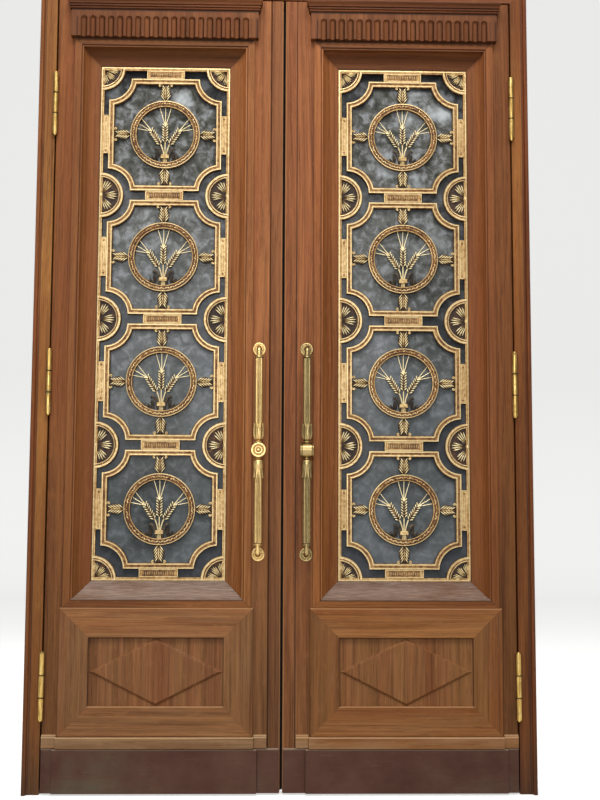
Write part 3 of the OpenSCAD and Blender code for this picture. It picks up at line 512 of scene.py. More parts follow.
def weathered_oak(name, seed, tone):
    """Varnish worn away, bare grey timber with open grain and stains. tone scales its colours."""
    g = Graph(name)
    lying = g.place((seed, seed * 0.7, 3.1), (0, QUARTER, 0))
    streak = g.noise(lying, (330, 330, 16), 4, 0.7)
    patch = g.noise(lying, (13, 13, 5), 6, 0.66)
    g.colour = g.ramp(streak, [(0.3, srgb(112, 91, 78)), (0.5, srgb(148, 123, 107)),
                               (0.7, srgb(176, 152, 136))])
    brown = g.ramp(streak, [(0.3, srgb(96, 62, 42)), (0.7, srgb(146, 104, 72))])
    g.lay(g.span(patch, 0.48, 0.68, 0, 0.65), brown)
    g.scale(tone)
    height = g.add(g.mul(streak, 0.8), g.mul(patch, 0.3))
    return g.finish(Roughness=g.span(patch, 0.3, 0.7, 0.66, 0.82),
                    Normal=g.bump(height, 0.0009, 0.6), Specular_IOR_Level=0.3)


def rise_of(g):
    """How high a spot stands, from 0 in the hollows to 1 on the ridges."""
    return g.new("ShaderNodeAttribute", {"attribute_name": "rise"}).outputs["Fac"]


GILT_TONES = ((36, 22, 14), (82, 49, 27), (138, 98, 54), (178, 144, 92), (208, 182, 133))
PALE_TONES = ((60, 40, 26), (134, 96, 54), (192, 158, 100), (228, 202, 144), (248, 232, 186))
DULL_TONES = ((30, 26, 22), (62, 52, 42), (92, 80, 64), (140, 126, 100), (170, 156, 124))
TONE_LEVELS = (0, 0.18, 0.42, 0.72, 1)


def gilding(name, seed, tones, shine=0.6):
    """Gold leaf on cast bronze, rubbed on the ridges, dark with dirt and patina in the hollows."""
    g = Graph(name)
    at = g.place((seed, 1.7 * seed, 0.3))
    worn = g.noise(at, 95, 5, 0.62)
    cloud = g.noise(at, 9, 4, 0.55)
    level = g.add(rise_of(g), g.mul(g.sub(worn, 0.5), 1.15))
    level = g.add(level, g.mul(g.sub(cloud, 0.5), 0.5))
    g.colour = g.ramp(level, [(place, srgb(*tone)) for place, tone in zip(TONE_LEVELS, tones)])
    return g.finish(Metallic=g.span(level, 0.05, 0.35, 0.5 * shine, shine),
                    Roughness=g.span(level, 0.1, 0.9, 0.6, 0.4),
                    Normal=g.bump(g.noise(at, 330, 3, 0.6), 0.0005, 0.35))


def brass(name, light, dark, seed):
    """Handled brass: bright where hands reach it, brown-green elsewhere."""
    g = Graph(name)
    at = g.place((seed, seed, 0.9 * seed))
    worn = g.noise(at, 70, 5, 0.6)
    cloud = g.noise(at, (20, 20, 6), 4, 0.6)
    level = g.add(g.mul(rise_of(g), 0.7), g.mul(cloud, 0.42))
    level = g.add(level, g.mul(g.sub(worn, 0.5), 0.4))
    g.colour = g.ramp(level, [(0.12, tinted(dark, (0.45, 0.42, 0.38))), (0.42, dark), (0.8, light)])
    return g.finish(Metallic=g.span(level, 0.05, 0.4, 0.6, 1),
                    Roughness=g.span(worn, 0.3, 0.7, 0.26, 0.4), Normal=g.bump(worn, 0.0004, 0.2))


def hinge_brass(name, seed):
    """Brass of the hinge barrels, streaked along their length, with dirt."""
    g = Graph(name)
    at = g.place((seed, 0.4, seed))
    streak = g.noise(at, (160, 160, 16), 4, 0.6)
    spots = g.noise(at, 60, 4, 0.62)
    g.colour = g.ramp(streak, [(0.28, srgb(120, 92, 44)), (0.5, srgb(196, 160, 88)),
                               (0.72, srgb(226, 198, 130))])
    g.lay(g.span(spots, 0.56, 0.72, 0, 0.75), srgb(84, 62, 32))
    # Dirt in the joints between the knuckles
    _, height = g.spot()
    for z in HINGE_Z:
        joint = g.apart(g.apart(height, z), KNUCKLE_JOINT)
        g.line(joint, 0.0012, 0.0034, 0.9, srgb(40, 28, 16))
    return g.finish(Metallic=g.span(spots, 0.5, 0.75, 1, 0.6),
                    Roughness=g.span(spots, 0.3, 0.7, 0.26, 0.46),
                    Normal=g.bump(streak, 0.0004, 0.25))


def kick_bronze(name, seed, green):
    """Sheet bronze gone dark, with scuffs along the ground and a green-grey bloom."""
    g = Graph(name)
    at = g.place((seed, 0, 2 * seed))
    x, z = g.spot()
    cloud = g.noise(at, 4.6, 5, 0.6)
    speck = g.noise(at, 120, 3, 0.6)
    scuff = g.noise(at, (14, 14, 150), 3, 0.55)
    rub = g.noise(at, (5, 5, 26), 4, 0.65)
    g.colour = g.ramp(cloud, [(0.3, srgb(66, 40, 30)), (0.5, srgb(79, 49, 38)),
                              (0.72, srgb(90, 61, 47))])
    # The bloom is strongest near the hinges and the ground
    near = g.mul(g.span(g.math("PINGPONG", x, MIDDLE_X), 0.05, 0.55, 1, 0.12),
                 g.span(z, 0.02, 0.16, 1, 0.35))
    bloom = g.mul(g.span(cloud, 0.4, 0.62), g.span(rub, 0.38, 0.62, 0.3, green))
    g.lay(g.mul(bloom, near), srgb(84, 82, 64))
    # A painted highlight along the top edge, scuffs and dark specks
    g.lay(g.span(z, 0.1425, 0.1455, 0, 0.5), srgb(160, 138, 116))
    g.lay(g.span(scuff, 0.6, 0.74, 0, 0.24), srgb(120, 94, 76))
    g.lay(g.span(speck, 0.68, 0.76, 0, 0.7), srgb(44, 32, 28))
    height = g.add(g.mul(cloud, 2), g.mul(speck, 0.25))
    return g.finish(Metallic=g.span(cloud, 0.3, 0.7, 0.45, 0.2), Specular_IOR_Level=0.25,
                    Roughness=g.span(rub, 0.3, 0.7, 0.46, 0.64), Normal=g.bump(height, 0.0016, 0.5))


def grille_shade(g, x, z, middle):
    """1 on the glass where the grille shades it, 0 in the open octagons of the leaf round middle."""
    drop = 0.006
    up = g.apart(z, RING_Z[0] / 1000 - drop)
    for ring_z in RING_Z[1:]:
        up = g.math("MINIMUM", up, g.apart(z, ring_z / 1000 - drop))
    dx = g.sub(g.apart(x, middle), OCT_W / 1000)
    dz = g.sub(up, OCT_H / 1000)
    corner = g.math("SQRT", g.add(g.mul(dx, dx), g.mul(dz, dz)))
    out = g.larger(g.larger(dx, dz), g.sub(CORNER_R / 1000, corner))
    return g.span(out, -0.028, -0.018)


def pane_glass(name, seed, middle):
    """Old plate glass over a dim hall, its colour painted reflections: blue-grey, cloudy, with mottled
    foliage and paler patches of sky higher up.
    """
    g = Graph(name)
    at = g.place((seed, 0, seed * 0.37))
    x, z = g.spot()
    broad = g.noise(at, (3.2, 1, 2.4), 3, 0.5)
    leafy = g.noise(at, 30, 5, 0.66, 0.5)
    pale = g.noise(at, (5, 1, 4), 4, 0.6)
    bands = g.noise(at, (2, 1, 26), 3, 0.55)
    # Painted reflections: cloudy blue-grey sky with faint bands, mottled foliage and pale sky patches
    # higher up
    g.colour = g.ramp(broad, [(0.32, srgb(64, 68, 70)), (0.5, srgb(86, 92, 94)),
                              (0.68, srgb(108, 114, 120))])
    g.lay(g.span(bands, 0.55, 0.7, 0, 0.3), srgb(122, 130, 138))
    reflected_foliage = g.ramp(leafy, [(0.36, srgb(46, 46, 36)), (0.5, srgb(89, 88, 82)),
                             (0.63, srgb(140, 142, 144))])
    g.lay(g.span(z, 1.15, 2.05, 0.25, 0.85), reflected_foliage)
    g.lay(g.mul(g.span(pale, 0.56, 0.66), g.span(z, 1.7, 2.2, 0, 0.85)), srgb(190, 196, 198))
    # Painted shadow of the grille on the glass
    g.lay(g.mul(grille_shade(g, x, z, middle), 0.6), srgb(30, 30, 38))
    # The shadow of the head
    g.lay(g.span(z, 2.425, 2.44, 0, 0.8), srgb(16, 13, 14))
    return g.finish(Roughness=0.1, Specular_IOR_Level=0.12,
                    Normal=g.bump(g.noise(at, 5, 2, 0.5), 0.002, 0.12))


# -------- mesh building

class Cast:
    """Collects surfaces in a leaf's own frame, in millimetres. A point is (x, y, z, rise), and the
    finish goes by its rise."""

    def __init__(self):
        self.points, self.faces = [], []

    def grid(self, rows, close=False, caps=0):
        """Joins rows of points, each a loop or a single point. close joins the last row to the
        first. caps says how many end rows get a face."""
        ids = []
        for row in rows:
            ids.append(range(len(self.points), len(self.points) + len(row)))
            self.points += row
        for a, b in list(zip(ids, ids[1:])) + ([(ids[-1], ids[0])] if close else []):
            n = max(len(a), len(b))
            for j in range(n):
                k = (j + 1) % n
                quad = (a[j % len(a)], a[k % len(a)], b[k % len(b)], b[j % len(b)])
                self.faces.append(tuple(dict.fromkeys(quad)))
        self.faces += [tuple(row) for row in (ids[0], ids[-1])[:caps]]

    def lens(self, x, z, angle, length, width, height, y, rise, nu=8, nv=6,
             fat=0.5, crease=0, bend=0, lift=0):
        """A leaf or kernel from (x, z) in direction angle, on a flat back at y, widest at fat."""
        rows = []
        for i, u in enumerate(fractions(nu)):
            body = sin(pi * u ** (log(0.5) / log(fat)))
            a = angle + bend * (u - 0.5)
            cx, cz = polar(x, z, angle, length * u, 0.12 * bend * length * sin(pi * u))
            base = y - lift * u
            if i in (0, nu):
                rows.append([(cx, base, cz, rise[0])])
                continue
            row = []
            for j in range(nv + 1):
                t = 2 * j / nv - 1
                h = height * body ** 0.7 * sqrt(1 - t * t)
                h -= crease * body * max(0, 1 - abs(t) * 3)
                px, pz = polar(cx, cz, a, 0, width / 2 * body * t)
                row.append((px, base - h, pz, rise[0] + (rise[1] - rise[0]) * min(1, h / height)))
            rows.append(row)
        self.grid(rows)

    def sweep(self, path, profile):
        """Carries a closed profile of (inset, y, rise) round a closed path of (x, z)."""
        n = len(path)
        area = sum(path[i - 1][0] * path[i][1] - path[i][0] * path[i - 1][1] for i in range(n))
        sign = 1 if area > 0 else -1
        rows = []
        for i, (px, pz) in enumerate(path):
            sx = sz = 0
            for p, q in ((path[i - 1], (px, pz)), ((px, pz), path[(i + 1) % n])):
                dx, dz = q[0] - p[0], q[1] - p[1]
                length = hypot(dx, dz)
                sx -= dz / length * sign
                sz += dx / length * sign
            k = 2 / (sx * sx + sz * sz)
            rows.append([(px + sx * k * inset, y, pz + sz * k * inset, rise)
                         for inset, y, rise in profile])
        self.grid(rows, close=True)

    def turned(self, x, z, profile, steps, middle=0, spread=TURN):
        """Turns a closed profile of (radius, y, rise) about the y axis through (x, z), by spread
        radians round middle."""
        full = spread == TURN
        start = 0 if full else middle - spread / 2
        rows = []
        for i in range(steps if full else steps + 1):
            a = start + spread * i / steps
            rows.append([(x + r * sin(a), y, z + r * cos(a), rise) for r, y, rise in profile])
        self.grid(rows, close=full, caps=0 if full else 2)

    def knob(self, x, z, y, radius, height, steps):
        """A low dome on a flat back."""
        rows = []
        for i in range(3):
            r, up = radius * cos(QUARTER * i / 3), sin(QUARTER * i / 3)
            rows.append([(x + r * sin(TURN * j / steps), y - height * up,
                          z + r * cos(TURN * j / steps), 0.4 + 0.6 * up) for j in range(steps)])
        rows.append([(x, y - height, z, 1)])
        self.grid(rows, caps=1)

    def tube(self, path, radius, steps, rise, taper=None):
        """A round bar along a path of 3-D points."""
        rows = []
        pts = [Vector(p) for p in path]
        last = len(pts) - 1
        side = None
        for i, p in enumerate(pts):
            d = (pts[min(i + 1, last)] - pts[max(i - 1, 0)]).normalized()
            if side is None:
                side = d.orthogonal().normalized()
            side = (side - d * side.dot(d)).normalized()
            other = d.cross(side)
            r = radius * (taper(i / last) if taper else 1)
            rows.append([(*(p + side * (r * cos(TURN * j / steps))
                            + other * (r * sin(TURN * j / steps))), rise)
                         for j in range(steps)])
        self.grid(rows, caps=2)

    def block(self, x, z, half_width, half_height, back, front, soft, rise):
        """A plate round (x, z) with its front edges eased."""
        rows = []
        for inset, y, level in ((0, back, rise[0]), (0, front + soft, rise[0]), (soft, front, rise[1])):
            rows.append([(px, y, pz, level) for px, pz in
                         rectangle(x, z, half_width - inset, half_height - inset)])
        self.grid(rows, caps=2)

    def lathe(self, x, y, z, rows, steps, ripples=0, valley=0.35):
        """Turns rows of (height, radius, rise) about a vertical axis. Rows with a depth, and a tip
        lift, are rippled, and their rise falls by valley in the hollows."""
        out = []
        for h, r, rise, *ripple in rows:
            depth, tip = (*ripple, 0, 0)[:2]
            row = []
            for j in range(steps):
                a = TURN * j / steps
                wave = 0.5 - 0.5 * cos(ripples * a) if ripple else 0
                level = rise * (valley + (1 - valley) * wave) if ripple else rise
                row.append((*polar(x, y, a, r - depth * (1 - wave)), z + h + tip * wave, level))
            out.append(row)
        self.grid(out, caps=2)

    def build(self, name, side, material):
        """Makes the object for the left (-1) or right (1) leaf, its mirror image."""
        obj = add_mesh(name, [(MIDDLE_X + side * LEAF_X - side * x / 1000, FACE_Y + y / 1000, z / 1000)
                              for x, y, z, _ in self.points], self.faces, material)
        mesh = obj.data
        attr = mesh.attributes.new("rise", "FLOAT", "POINT")
        attr.data.foreach_set("value", [p[3] for p in self.points])
        bm = bmesh.new()
        bm.from_mesh(mesh)
        bmesh.ops.recalc_face_normals(bm, faces=bm.faces)
        bm.to_mesh(mesh)
        bm.free()
        mesh.set_sharp_from_angle(angle=radians(42))
        return obj


# -------- the gilded grille

def octagon_path(z0):
    """Outer edge of an octagonal frame: straight sides and hollow corners, counterclockwise."""
    pts = []
    for sx, sz, start in ((1, 1, 270), (-1, 1, 360), (-1, -1, 90), (1, -1, 180)):
        for i in range(11):
            a = radians(start - 9 * i)
            pts.append((sx * OCT_W + CORNER_R * cos(a), z0 + sz * OCT_H + CORNER_R * sin(a)))
    return pts


# Profiles: (inset or radius, y, rise). The back is at 50, the plate at 40, the fillets at 37
FRAME_PROFILE = [
    (0, 50, 0.2), (0, 38.5, 0.45), (1, 36.6, 1), (5.2, 36.4, 0.95), (6.6, 39.4, 0.36),
    (9, 39.9, 0.38), (11.6, 39.6, 0.4), (13.4, 37, 0.85), (17.2, 36.8, 1), (18.6, 38, 0.5),
    (BAR, 39.5, 0.3), (BAR, 50, 0.2)]
BORDER_PROFILE = [
    (-6, 50, 0.1), (-6, 39.4, 0.2), (0.3, 39.4, 0.15), (1, 37.4, 0.55), (2.6, 36.6, 0.95),
    (6, 36.4, 1), (7.6, 38.6, 0.55), (11.2, 38.9, 0.7), (BORDER, 39.8, 0.4), (BORDER, 50, 0.2)]
RING_PROFILE = [
    (RING_IN, 50, 0.2), (RING_IN, 36.5, 0.4), (RING_IN + 0.8, 34.8, 0.75),
    (RING_IN + 2.6, 34.6, 0.8), (RING_IN + 3.8, 36.6, 0.25), (110, 36.2, 0.22),
    (RING_R - 4.4, 36.6, 0.25), (RING_R - 3.2, 34.6, 0.95), (RING_R - 0.9, 35, 1),
    (RING_R, 37, 0.5), (RING_R, 50, 0.2)]
ROSETTE_RIM = [
    (63, 50, 0.1), (63, 39.2, 0.3), (64, 37.4, 0.9), (66.4, 36.8, 1), (68, 38.4, 0.2),
    (70, 38.6, 0.3), (71.4, 36.8, 0.85), (77.6, 36.6, 1), (79.4, 38.8, 0.6), (80, 40, 0.3),
    (80, 50, 0.1)]
ROSETTE_GROUND = [(0.5, 49.4, 0), (0.5, 45.4, 0), (63.5, 45.4, 0), (63.5, 49.4, 0)]
TABLET_EDGE = [
    (0, 50, 0.2), (0, 38.6, 0.5), (0.8, 37, 0.9), (3.2, 37, 1), (4.4, 38.4, 0.25),
    (5.4, 38.8, 0.2), (5.4, 50, 0.1)]
SCREWED_EDGE = [(0, 41, 0.3), (0.6, 37, 0.9), (2.4, 37, 1), (3.4, 39, 0.3), (3.4, 41, 0.2)]
TABLET_SCREW = [(0.3, 40, 0.1), (0.3, 37.4, 0.5), (1.6, 37, 0.2), (3.2, 37.4, 0.5), (3.8, 40, 0.05)]


def build_bars():
    """The border and the four octagonal frames."""
    c = Cast()
    c.sweep(rectangle(0, (LIGHT_BOTTOM + LIGHT_TOP) / 2, LIGHT_HALF, (LIGHT_TOP - LIGHT_BOTTOM) / 2),
            BORDER_PROFILE)
    for z in RING_Z:
        c.sweep(octagon_path(z), FRAME_PROFILE)
    return c


def build_rings():
    """Ring medallions: two fillets with a garland of small overlapping leaves between them."""
    c = Cast()
    rng = Random(5)
    count = 40
    for z in RING_Z:
        c.turned(0, z, RING_PROFILE, 112)
        for i in range(count):
            for row, r, lean in ((0, 106.4, -0.46), (1, 113.2, 0.46)):
                a = TURN * i / count + row * pi / count
                # Painted light: the garland is brightest along the bottom of the ring
                bright = 0.78 + rng.uniform(-0.35, 0.35) + 0.5 * max(0, -cos(a + 0.5))
                c.lens(*polar(0, z, a, r), a + QUARTER + lean + rng.uniform(-0.12, 0.12),
                       15, 7, 3.2, 36.4, (0.12, bright), 5, 4, fat=0.42)
    return c


def add_ear(c, rng, x0, z0, lean, ring_z, awns):
    """An ear with its foot at (x0, z0) from the ring's middle. awns are their angles in degrees."""
    rows, pitch, y = 7, 9.2, WHEAT_BACK
    foot = (x0, ring_z + z0, lean)
    c.lens(*polar(*foot, -2), lean, 68, 14, 4.6, y - 1.5, (-0.5, 0.1), 10)
    for i in range(rows):
        for s in (-1, 1):
            c.lens(*polar(*foot, i * pitch, -0.6 * s), lean + s * (0.76 + rng.uniform(-0.04, 0.04)),
                   18, 5.6, 4.8, y - 4.6, (-0.6, 1.6), 7, fat=0.6, lift=2.4)
    tip = (rows - 1) * pitch
    c.lens(*polar(*foot, tip), lean, 17, 5.6, 6.2, y - 1.5, (-0.3, 0.9), 6, crease=0.6)
    for awn in awns:
        a = lean + radians(awn)
        sx, sz = polar(x0, z0, lean, tip + 1)
        # The awn runs until it touches the ring
        dx, dz = sin(a), cos(a)
        dot = sx * dx + sz * dz
        reach = -dot + sqrt(dot * dot - (sx * sx + sz * sz) + (RING_IN + 1.2) ** 2)
        path = [(sx + dx * reach * t + 0.7 * sin(pi * t) * dz,
                 y - 5.2 + 1 * t * t, ring_z + sz + dz * reach * t) for t in fractions(5)]
        c.tube(path, 1.75, 7, 0.95, lambda t: 1 - 0.42 * t)


def build_wheat():
    """Three tied ears of wheat in each ring with stems and awns, and two curled leaves apart."""
    c, leaves = Cast(), Cast()
    rng = Random(11)
    y = WHEAT_BACK
    for z in RING_Z:
        add_ear(c, rng, 0, -27, 0, z, (-16, 0, 16))
        for s in (-1, 1):
            add_ear(c, rng, s * 15.5, -35, radians(s * 33), z, (5 * s, 26 * s, 46 * s))
            c.tube([(s * (4 + 2 * t + 9.5 * t * t), y - 3.2, z - 77 + 44 * t) for t in fractions(6)],
                   2.3, 8, 0.85)
            c.tube([(s * (5.5 - 1.5 * t), y - 3, z - 99 + 22 * t) for t in fractions(3)], 2.1, 8, 0.7)
        c.tube([(0, y - 3.5, z - 99), (0, y - 3.5, z - 60), (0, y - 4, z - 26)], 2.2, 8, 0.85)
        # The tie: a band with three cords
        c.block(0, z - 77, 13.5, 7, y, y - 9.5, 1.4, (0.15, 0.4))
        for k in (-1, 0, 1):
            up = z - 77 + 4.3 * k
            c.tube([(-13.9, y - 8.6, up), (0, y - 10.4, up), (13.9, y - 8.6, up)], 1.9, 8, 0.55)
        # The leaves curl over at their tips, dark where the gilding is gone
        for s in (-1, 1):
            stalk = [(s * (11 + 24 * (1 - cos(t * 2.5)) * 0.56), y - 3 - 3.5 * sin(t * 2.6),
                      z - 95 + 45 * sin(t * 2.05)) for t in fractions(10)]
            leaves.tube(stalk, 4.6, 8, 0.25, lambda t: 0.55 + 0.75 * sin(pi * (0.15 + 0.8 * t)))
            for x, down, turn, length, width, height, shine, crease, bend in (
                    (26, 91, 10, 33, 12, 4.4, 0.35, 2, 0), (40, 85, 62, 33, 8.5, 3.4, 0.42, 1.2, 0.8),
                    (30, 93, 40, 27, 8, 3.4, 0.38, 1.2, 0)):
                leaves.lens(s * x, z - down, radians(s * turn), length, width, height, y - 1,
                            (0.05, shine), crease=crease, bend=bend * s)
    return c, leaves


def add_clip(c, z, angle, reach):
    """An acanthus leaf from the ring at height z to its frame, with two volutes at its end."""
    start, end = RING_R - 4, reach - BAR + 2
    size = end - start
    volute = end - 7.5

    def at(along, out=0):
        return polar(0, z, angle, along, out)

    c.lens(*at(start), angle, size + 4, 37, 5.5, 45, (-0.4, 0.05), 10, 8, fat=0.46)
    # Lobes of the leaf, overlapping up its midrib
    for k in range(5):
        for s in (-1, 1):
            c.lens(*at(start + 2 + k * size * 0.15, s), angle + s * (0.62 - 0.03 * k),
                   size * (0.5 - 0.03 * k), 5.4, 5.6, 41.5 - 0.5 * k, (-0.45, 1.15), 6, 5, lift=1)
    c.lens(*at(start + 3), angle, size * 0.92, 4.6, 5, 39.5, (-0.2, 0.7), 8, 5)
    for s in (-1, 1):
        spiral = []
        for t in fractions(14):
            r, b = 6.2 * (1 - 0.72 * t), -0.4 + t * 4.6
            px, pz = at(volute + r * cos(b), s * (18.5 + r * sin(b)))
            spiral.append((px, 38 - 1.5 * t, pz))
        c.tube(spiral, 2.6, 6, 0.5, lambda t: 1 - 0.35 * t)
        c.knob(*at(volute, s * 18.5), 41, 2.8, 4.5, 8)
    c.knob(*at(start + 1), 40, 4, 4.6, 10)


def build_clips():
    c = Cast()
    for z in RING_Z:
        for quarter, reach in enumerate((OCT_H, OCT_W, OCT_H, OCT_W)):
            add_clip(c, z, quarter * QUARTER, reach)
    return c


def add_palmette(c, x, z, angle, step):
    """A fan of four narrow fingers, step radians apart."""
    inner, length = 9, 52
    for k in (-1.5, -0.5, 0.5, 1.5):
        a = angle + k * step
        c.lens(*polar(x, z, a, inner), a, length * (1 - 0.05 * k * k), 32 * step + 0.3, 6.8, 44,
               (-0.1, 1.9), 7, 4, fat=0.7)


def build_rosettes():
    """Half rosettes at the sides and quarter rosettes in the corners, palmettes on a dark ground."""
    c, fans = Cast(), Cast()
    # The rims stop at the border's fillet
    inset = 4.5

    def rosette(x, z, middle, spread, apart, boss, step):
        arc = (radians(middle), radians(spread))
        button = [(0.4, BACK, 0.2), (0.4, 36.6, 1), (boss * 0.5, 36.8, 1),
                  (boss * 0.8, 38.2, 0.6), (boss, 41, 0.3), (boss, BACK, 0.2)]
        c.turned(x, z, ROSETTE_RIM, max(10, round(spread / 4)), *arc)
        c.turned(x, z, ROSETTE_GROUND, max(8, round(spread / 8)), *arc)
        for k in (-1, 0, 1):
            add_palmette(fans, x, z, radians(middle + k * apart), step)
        c.turned(x, z, button, 14, *arc)

    for s in (-1, 1):
        x = s * (LIGHT_HALF - inset)
        for z in BETWEEN_Z:
            rosette(x, z, -90 * s, 180, 57, 10, 0.168)
        rosette(x, LIGHT_TOP - inset, -135 * s, 90, 31, 9, 0.112)
        rosette(x, LIGHT_BOTTOM + inset, -45 * s, 90, 31, 9, 0.112)
    return c, fans


def build_tablets():
    """Tablets with a raised edge: lying ones with small flutes, upright ones with two screws."""
    c = Cast()
    foot = RING_Z[0] - OCT_H - LIGHT_BOTTOM - BORDER
    head = LIGHT_TOP - BORDER - RING_Z[3] - OCT_H
    lying = [(LIGHT_BOTTOM + BORDER + foot / 2, foot)] + [(z, 32.5) for z in BETWEEN_Z]
    lying.append((LIGHT_TOP - BORDER - head / 2, head))
    flutes = 17
    for z, h in lying:
        c.block(0, z, 66, h / 2 + 0.4, BACK, PLATE - 1.5, 0.4, (0.2, 0.62))
        c.block(0, z, 53, 9.6, BACK, PLATE - 1.8, 0.2, (0.1, 0.3))
        c.sweep(rectangle(0, z, 66, h / 2), TABLET_EDGE)
        for i in range(flutes):
            c.lens((i - (flutes - 1) / 2) * 6.1, z - 8.8, 0, 17.6, 4.6, 3.4, PLATE - 1.4,
                   (0.25, 1), 5, 4)
        for s in (-1, 1):
            c.block(0, z + s * 10.6, 52, 0.9, PLATE, FILLET + 0.6, 0.4, (0.4, 0.9))
    half_wide = (LIGHT_HALF - BORDER - OCT_W + 1) / 2
    for z in RING_Z:
        for s in (-1, 1):
            x = s * (OCT_W + LIGHT_HALF - BORDER) / 2
            c.block(x, z, half_wide, 68.5, BACK, PLATE - 1.5, 0.5, (0.35, 0.7))
            c.sweep(rectangle(x, z, half_wide - 1.5, 68.5), SCREWED_EDGE)
            c.block(x, z, 2.1, 46, PLATE, FILLET + 0.4, 0.7, (0.35, 0.85))
            for t in (-1, 1):
                c.turned(x, z + t * 57, TABLET_SCREW, 12)
    return c


# -------- the pull handles

ROD = 12.75
# Where the fluted rod ends, from the handle's middle
ROD_END = HANDLE_HALF - 30
# Rows for lathe. The collar's are measured from the end of the rod and from its surface
COLLAR = ((-8, -0.2, -0.3), (-5.5, 0.2, -0.3), (-4.5, 2.2, 1), (-1, 2.2, 1.2), (0, -1.4, 0.2),
          (2.6, -1, 0.9), (4.2, -5.15, 0.4))
NECK = ((20, 8, 0.3), (25, 8.2, 0.4), (26.5, 10.6, 0.9), (29, 11.2, 1), (31, 9.6, 0.5),
        (33, 8.2, 0.2), (36, 8, 0.3))
TULIP = [(31, 8, 0.4, 0.4), (33, 11, 0.6, 0.9), (37, 14.4, 0.8, 1.3), (43, 16.4, 0.9, 1.6),
         (52, 17.2, 1, 1.8), (61, 17.3, 1, 1.9), (70, 17.3, 0.9, 2), (78, 17.4, 1, 2.1, 0.6),
         (83, 18.1, 1, 2.2, 1.8), (86, 18.7, 1, 2.2, 3.6), (86.5, 17, 0.5, 2.2, 4),
         (83, 13.6, 0.1), (80, 12, 0.1)]
BELL = [(-80, 12, 0), (-84, 13.4, 0), (-89, 16.8, 0.5, 3.4, -4.5), (-88.5, 18.6, 1.1, 4.4, -5.5),
        (-85, 18.2, 1, 4, -2), (-80, 17.4, 1, 3, -0.5), (-75, 16.9, 0.95, 1.8), (-68, 16.9, 0.9, 0.8),
        (-60, 17.3, 0.9, 0.3), (-50, 18.3, 0.9), (-38, 18.3, 1), (-34, 16.6, 1), (-32, 13.6, 0.8),
        (-31, 8, 0.4)]
PETAL = ((36, 12), (46, 15.6), (58, 16), (68, 16), (76, 15.8), (84, 15.8))
# Profiles: (radius, y, rise)
ROSE = [(0.4, 0, 0.3), (22.4, 0, 0.3), (22.4, -1.8, 0.8), (21.2, -3, 1), (18.8, -3.2, 0.9),
        (17.6, -2.6, 0.2), (14.2, -3, 0.6), (13.2, -4.6, 0.8), (11.2, -5.6, 1), (9.4, -5.4, 0.7),
        (8.4, -4.4, 0.2), (0.4, -4.2, 0.3)]
ROSE_SCREW = [(0.3, -2.4, 0.1), (0.3, -3.6, 0.55), (2.1, -3.9, 0.9), (2.7, -3.4, 0.4), (2.9, -2.4, 0.05)]
# Half the drum: (radius, half depth, rise)
DRUM = [(0.3, 21.8, 1), (3.2, 21.6, 1), (4.2, 20.2, 0.15), (8.6, 20, 0.3), (9.6, 21.6, 0.95),
        (12.6, 21.8, 1), (13.8, 20.2, 0.15), (18, 20.2, 0.35), (19.2, 21.8, 1),
        (23.2, 21.8, 1), (24.3, 20.8, 0.9), (24.5, 18.6, 0.8), (23.6, 17.6, 0.3), (23.6, 15.6, 0.4),
        (24.5, 14.8, 0.9)]


def build_handle(side):
    """A fluted pull with a tulip cup over the drum, a bell cup under it, bent arms and screwed
    roses. The drum faces the street on the left leaf and lies across the handle on the right."""
    c = Cast()
    x, y, z = HANDLE_X, HANDLE_Y, HANDLE_Z
    for a, b in ((84, ROD_END), (-ROD_END, -86)):
        c.lathe(x, y, z, [(a + (b - a) * t, ROD, 1, 1.9) for t in fractions(12)], 96, 12)
    for s in (-1, 1):
        c.lathe(x, y, z, [(s * (ROD_END + h), ROD + r, rise) for h, r, rise in COLLAR[::s]], 32)
        bend = 17
        path = [(x, y, z + s * (ROD_END + 1))]
        for t in fractions(9):
            a = QUARTER * t
            path.append((x, y + bend * (1 - cos(a)), z + s * (HANDLE_HALF - bend + bend * sin(a))))
        path.append((x, -4, z + s * HANDLE_HALF))
        c.tube(path, 8.2, 20, 1.15)
        # The rose, with three screws
        rose_z = z + s * HANDLE_HALF
        c.turned(x, rose_z, ROSE, 48)
        for k in range(3):
            a = radians(120 * k + (0 if s > 0 else 180))
            c.turned(*polar(x, rose_z, a, 16), ROSE_SCREW, 12)
    for s in (-1, 1):
        c.lathe(x, y, z, [(s * h, r, rise) for h, r, rise in NECK[::s]], 32)
    petals = 8
    c.lathe(x, y, z, TULIP, 80, petals, 0.75)
    # A second whorl of petals between the first
    for k in range(petals):
        a = TURN * (k + 0.5) / petals
        c.tube([(*polar(x, y, a, r), z + h) for h, r in PETAL], 2.4, 6, 0.95,
               lambda t: 0.35 + 0.9 * sin(pi * (0.12 + 0.76 * t)))
    c.lathe(x, y, z, BELL, 80, petals, 0.75)
    drum = DRUM + [(r, -h, rise) for r, h, rise in DRUM[::-1]]
    if side < 0:
        c.turned(x, z, [(r, y - h, rise) for r, h, rise in drum], 48)
    else:
        c.grid([[(x + h, *polar(y, z, TURN * i / 48, r), rise) for r, h, rise in drum]
                for i in range(48)], close=True)
    return c


# -------- putting it together

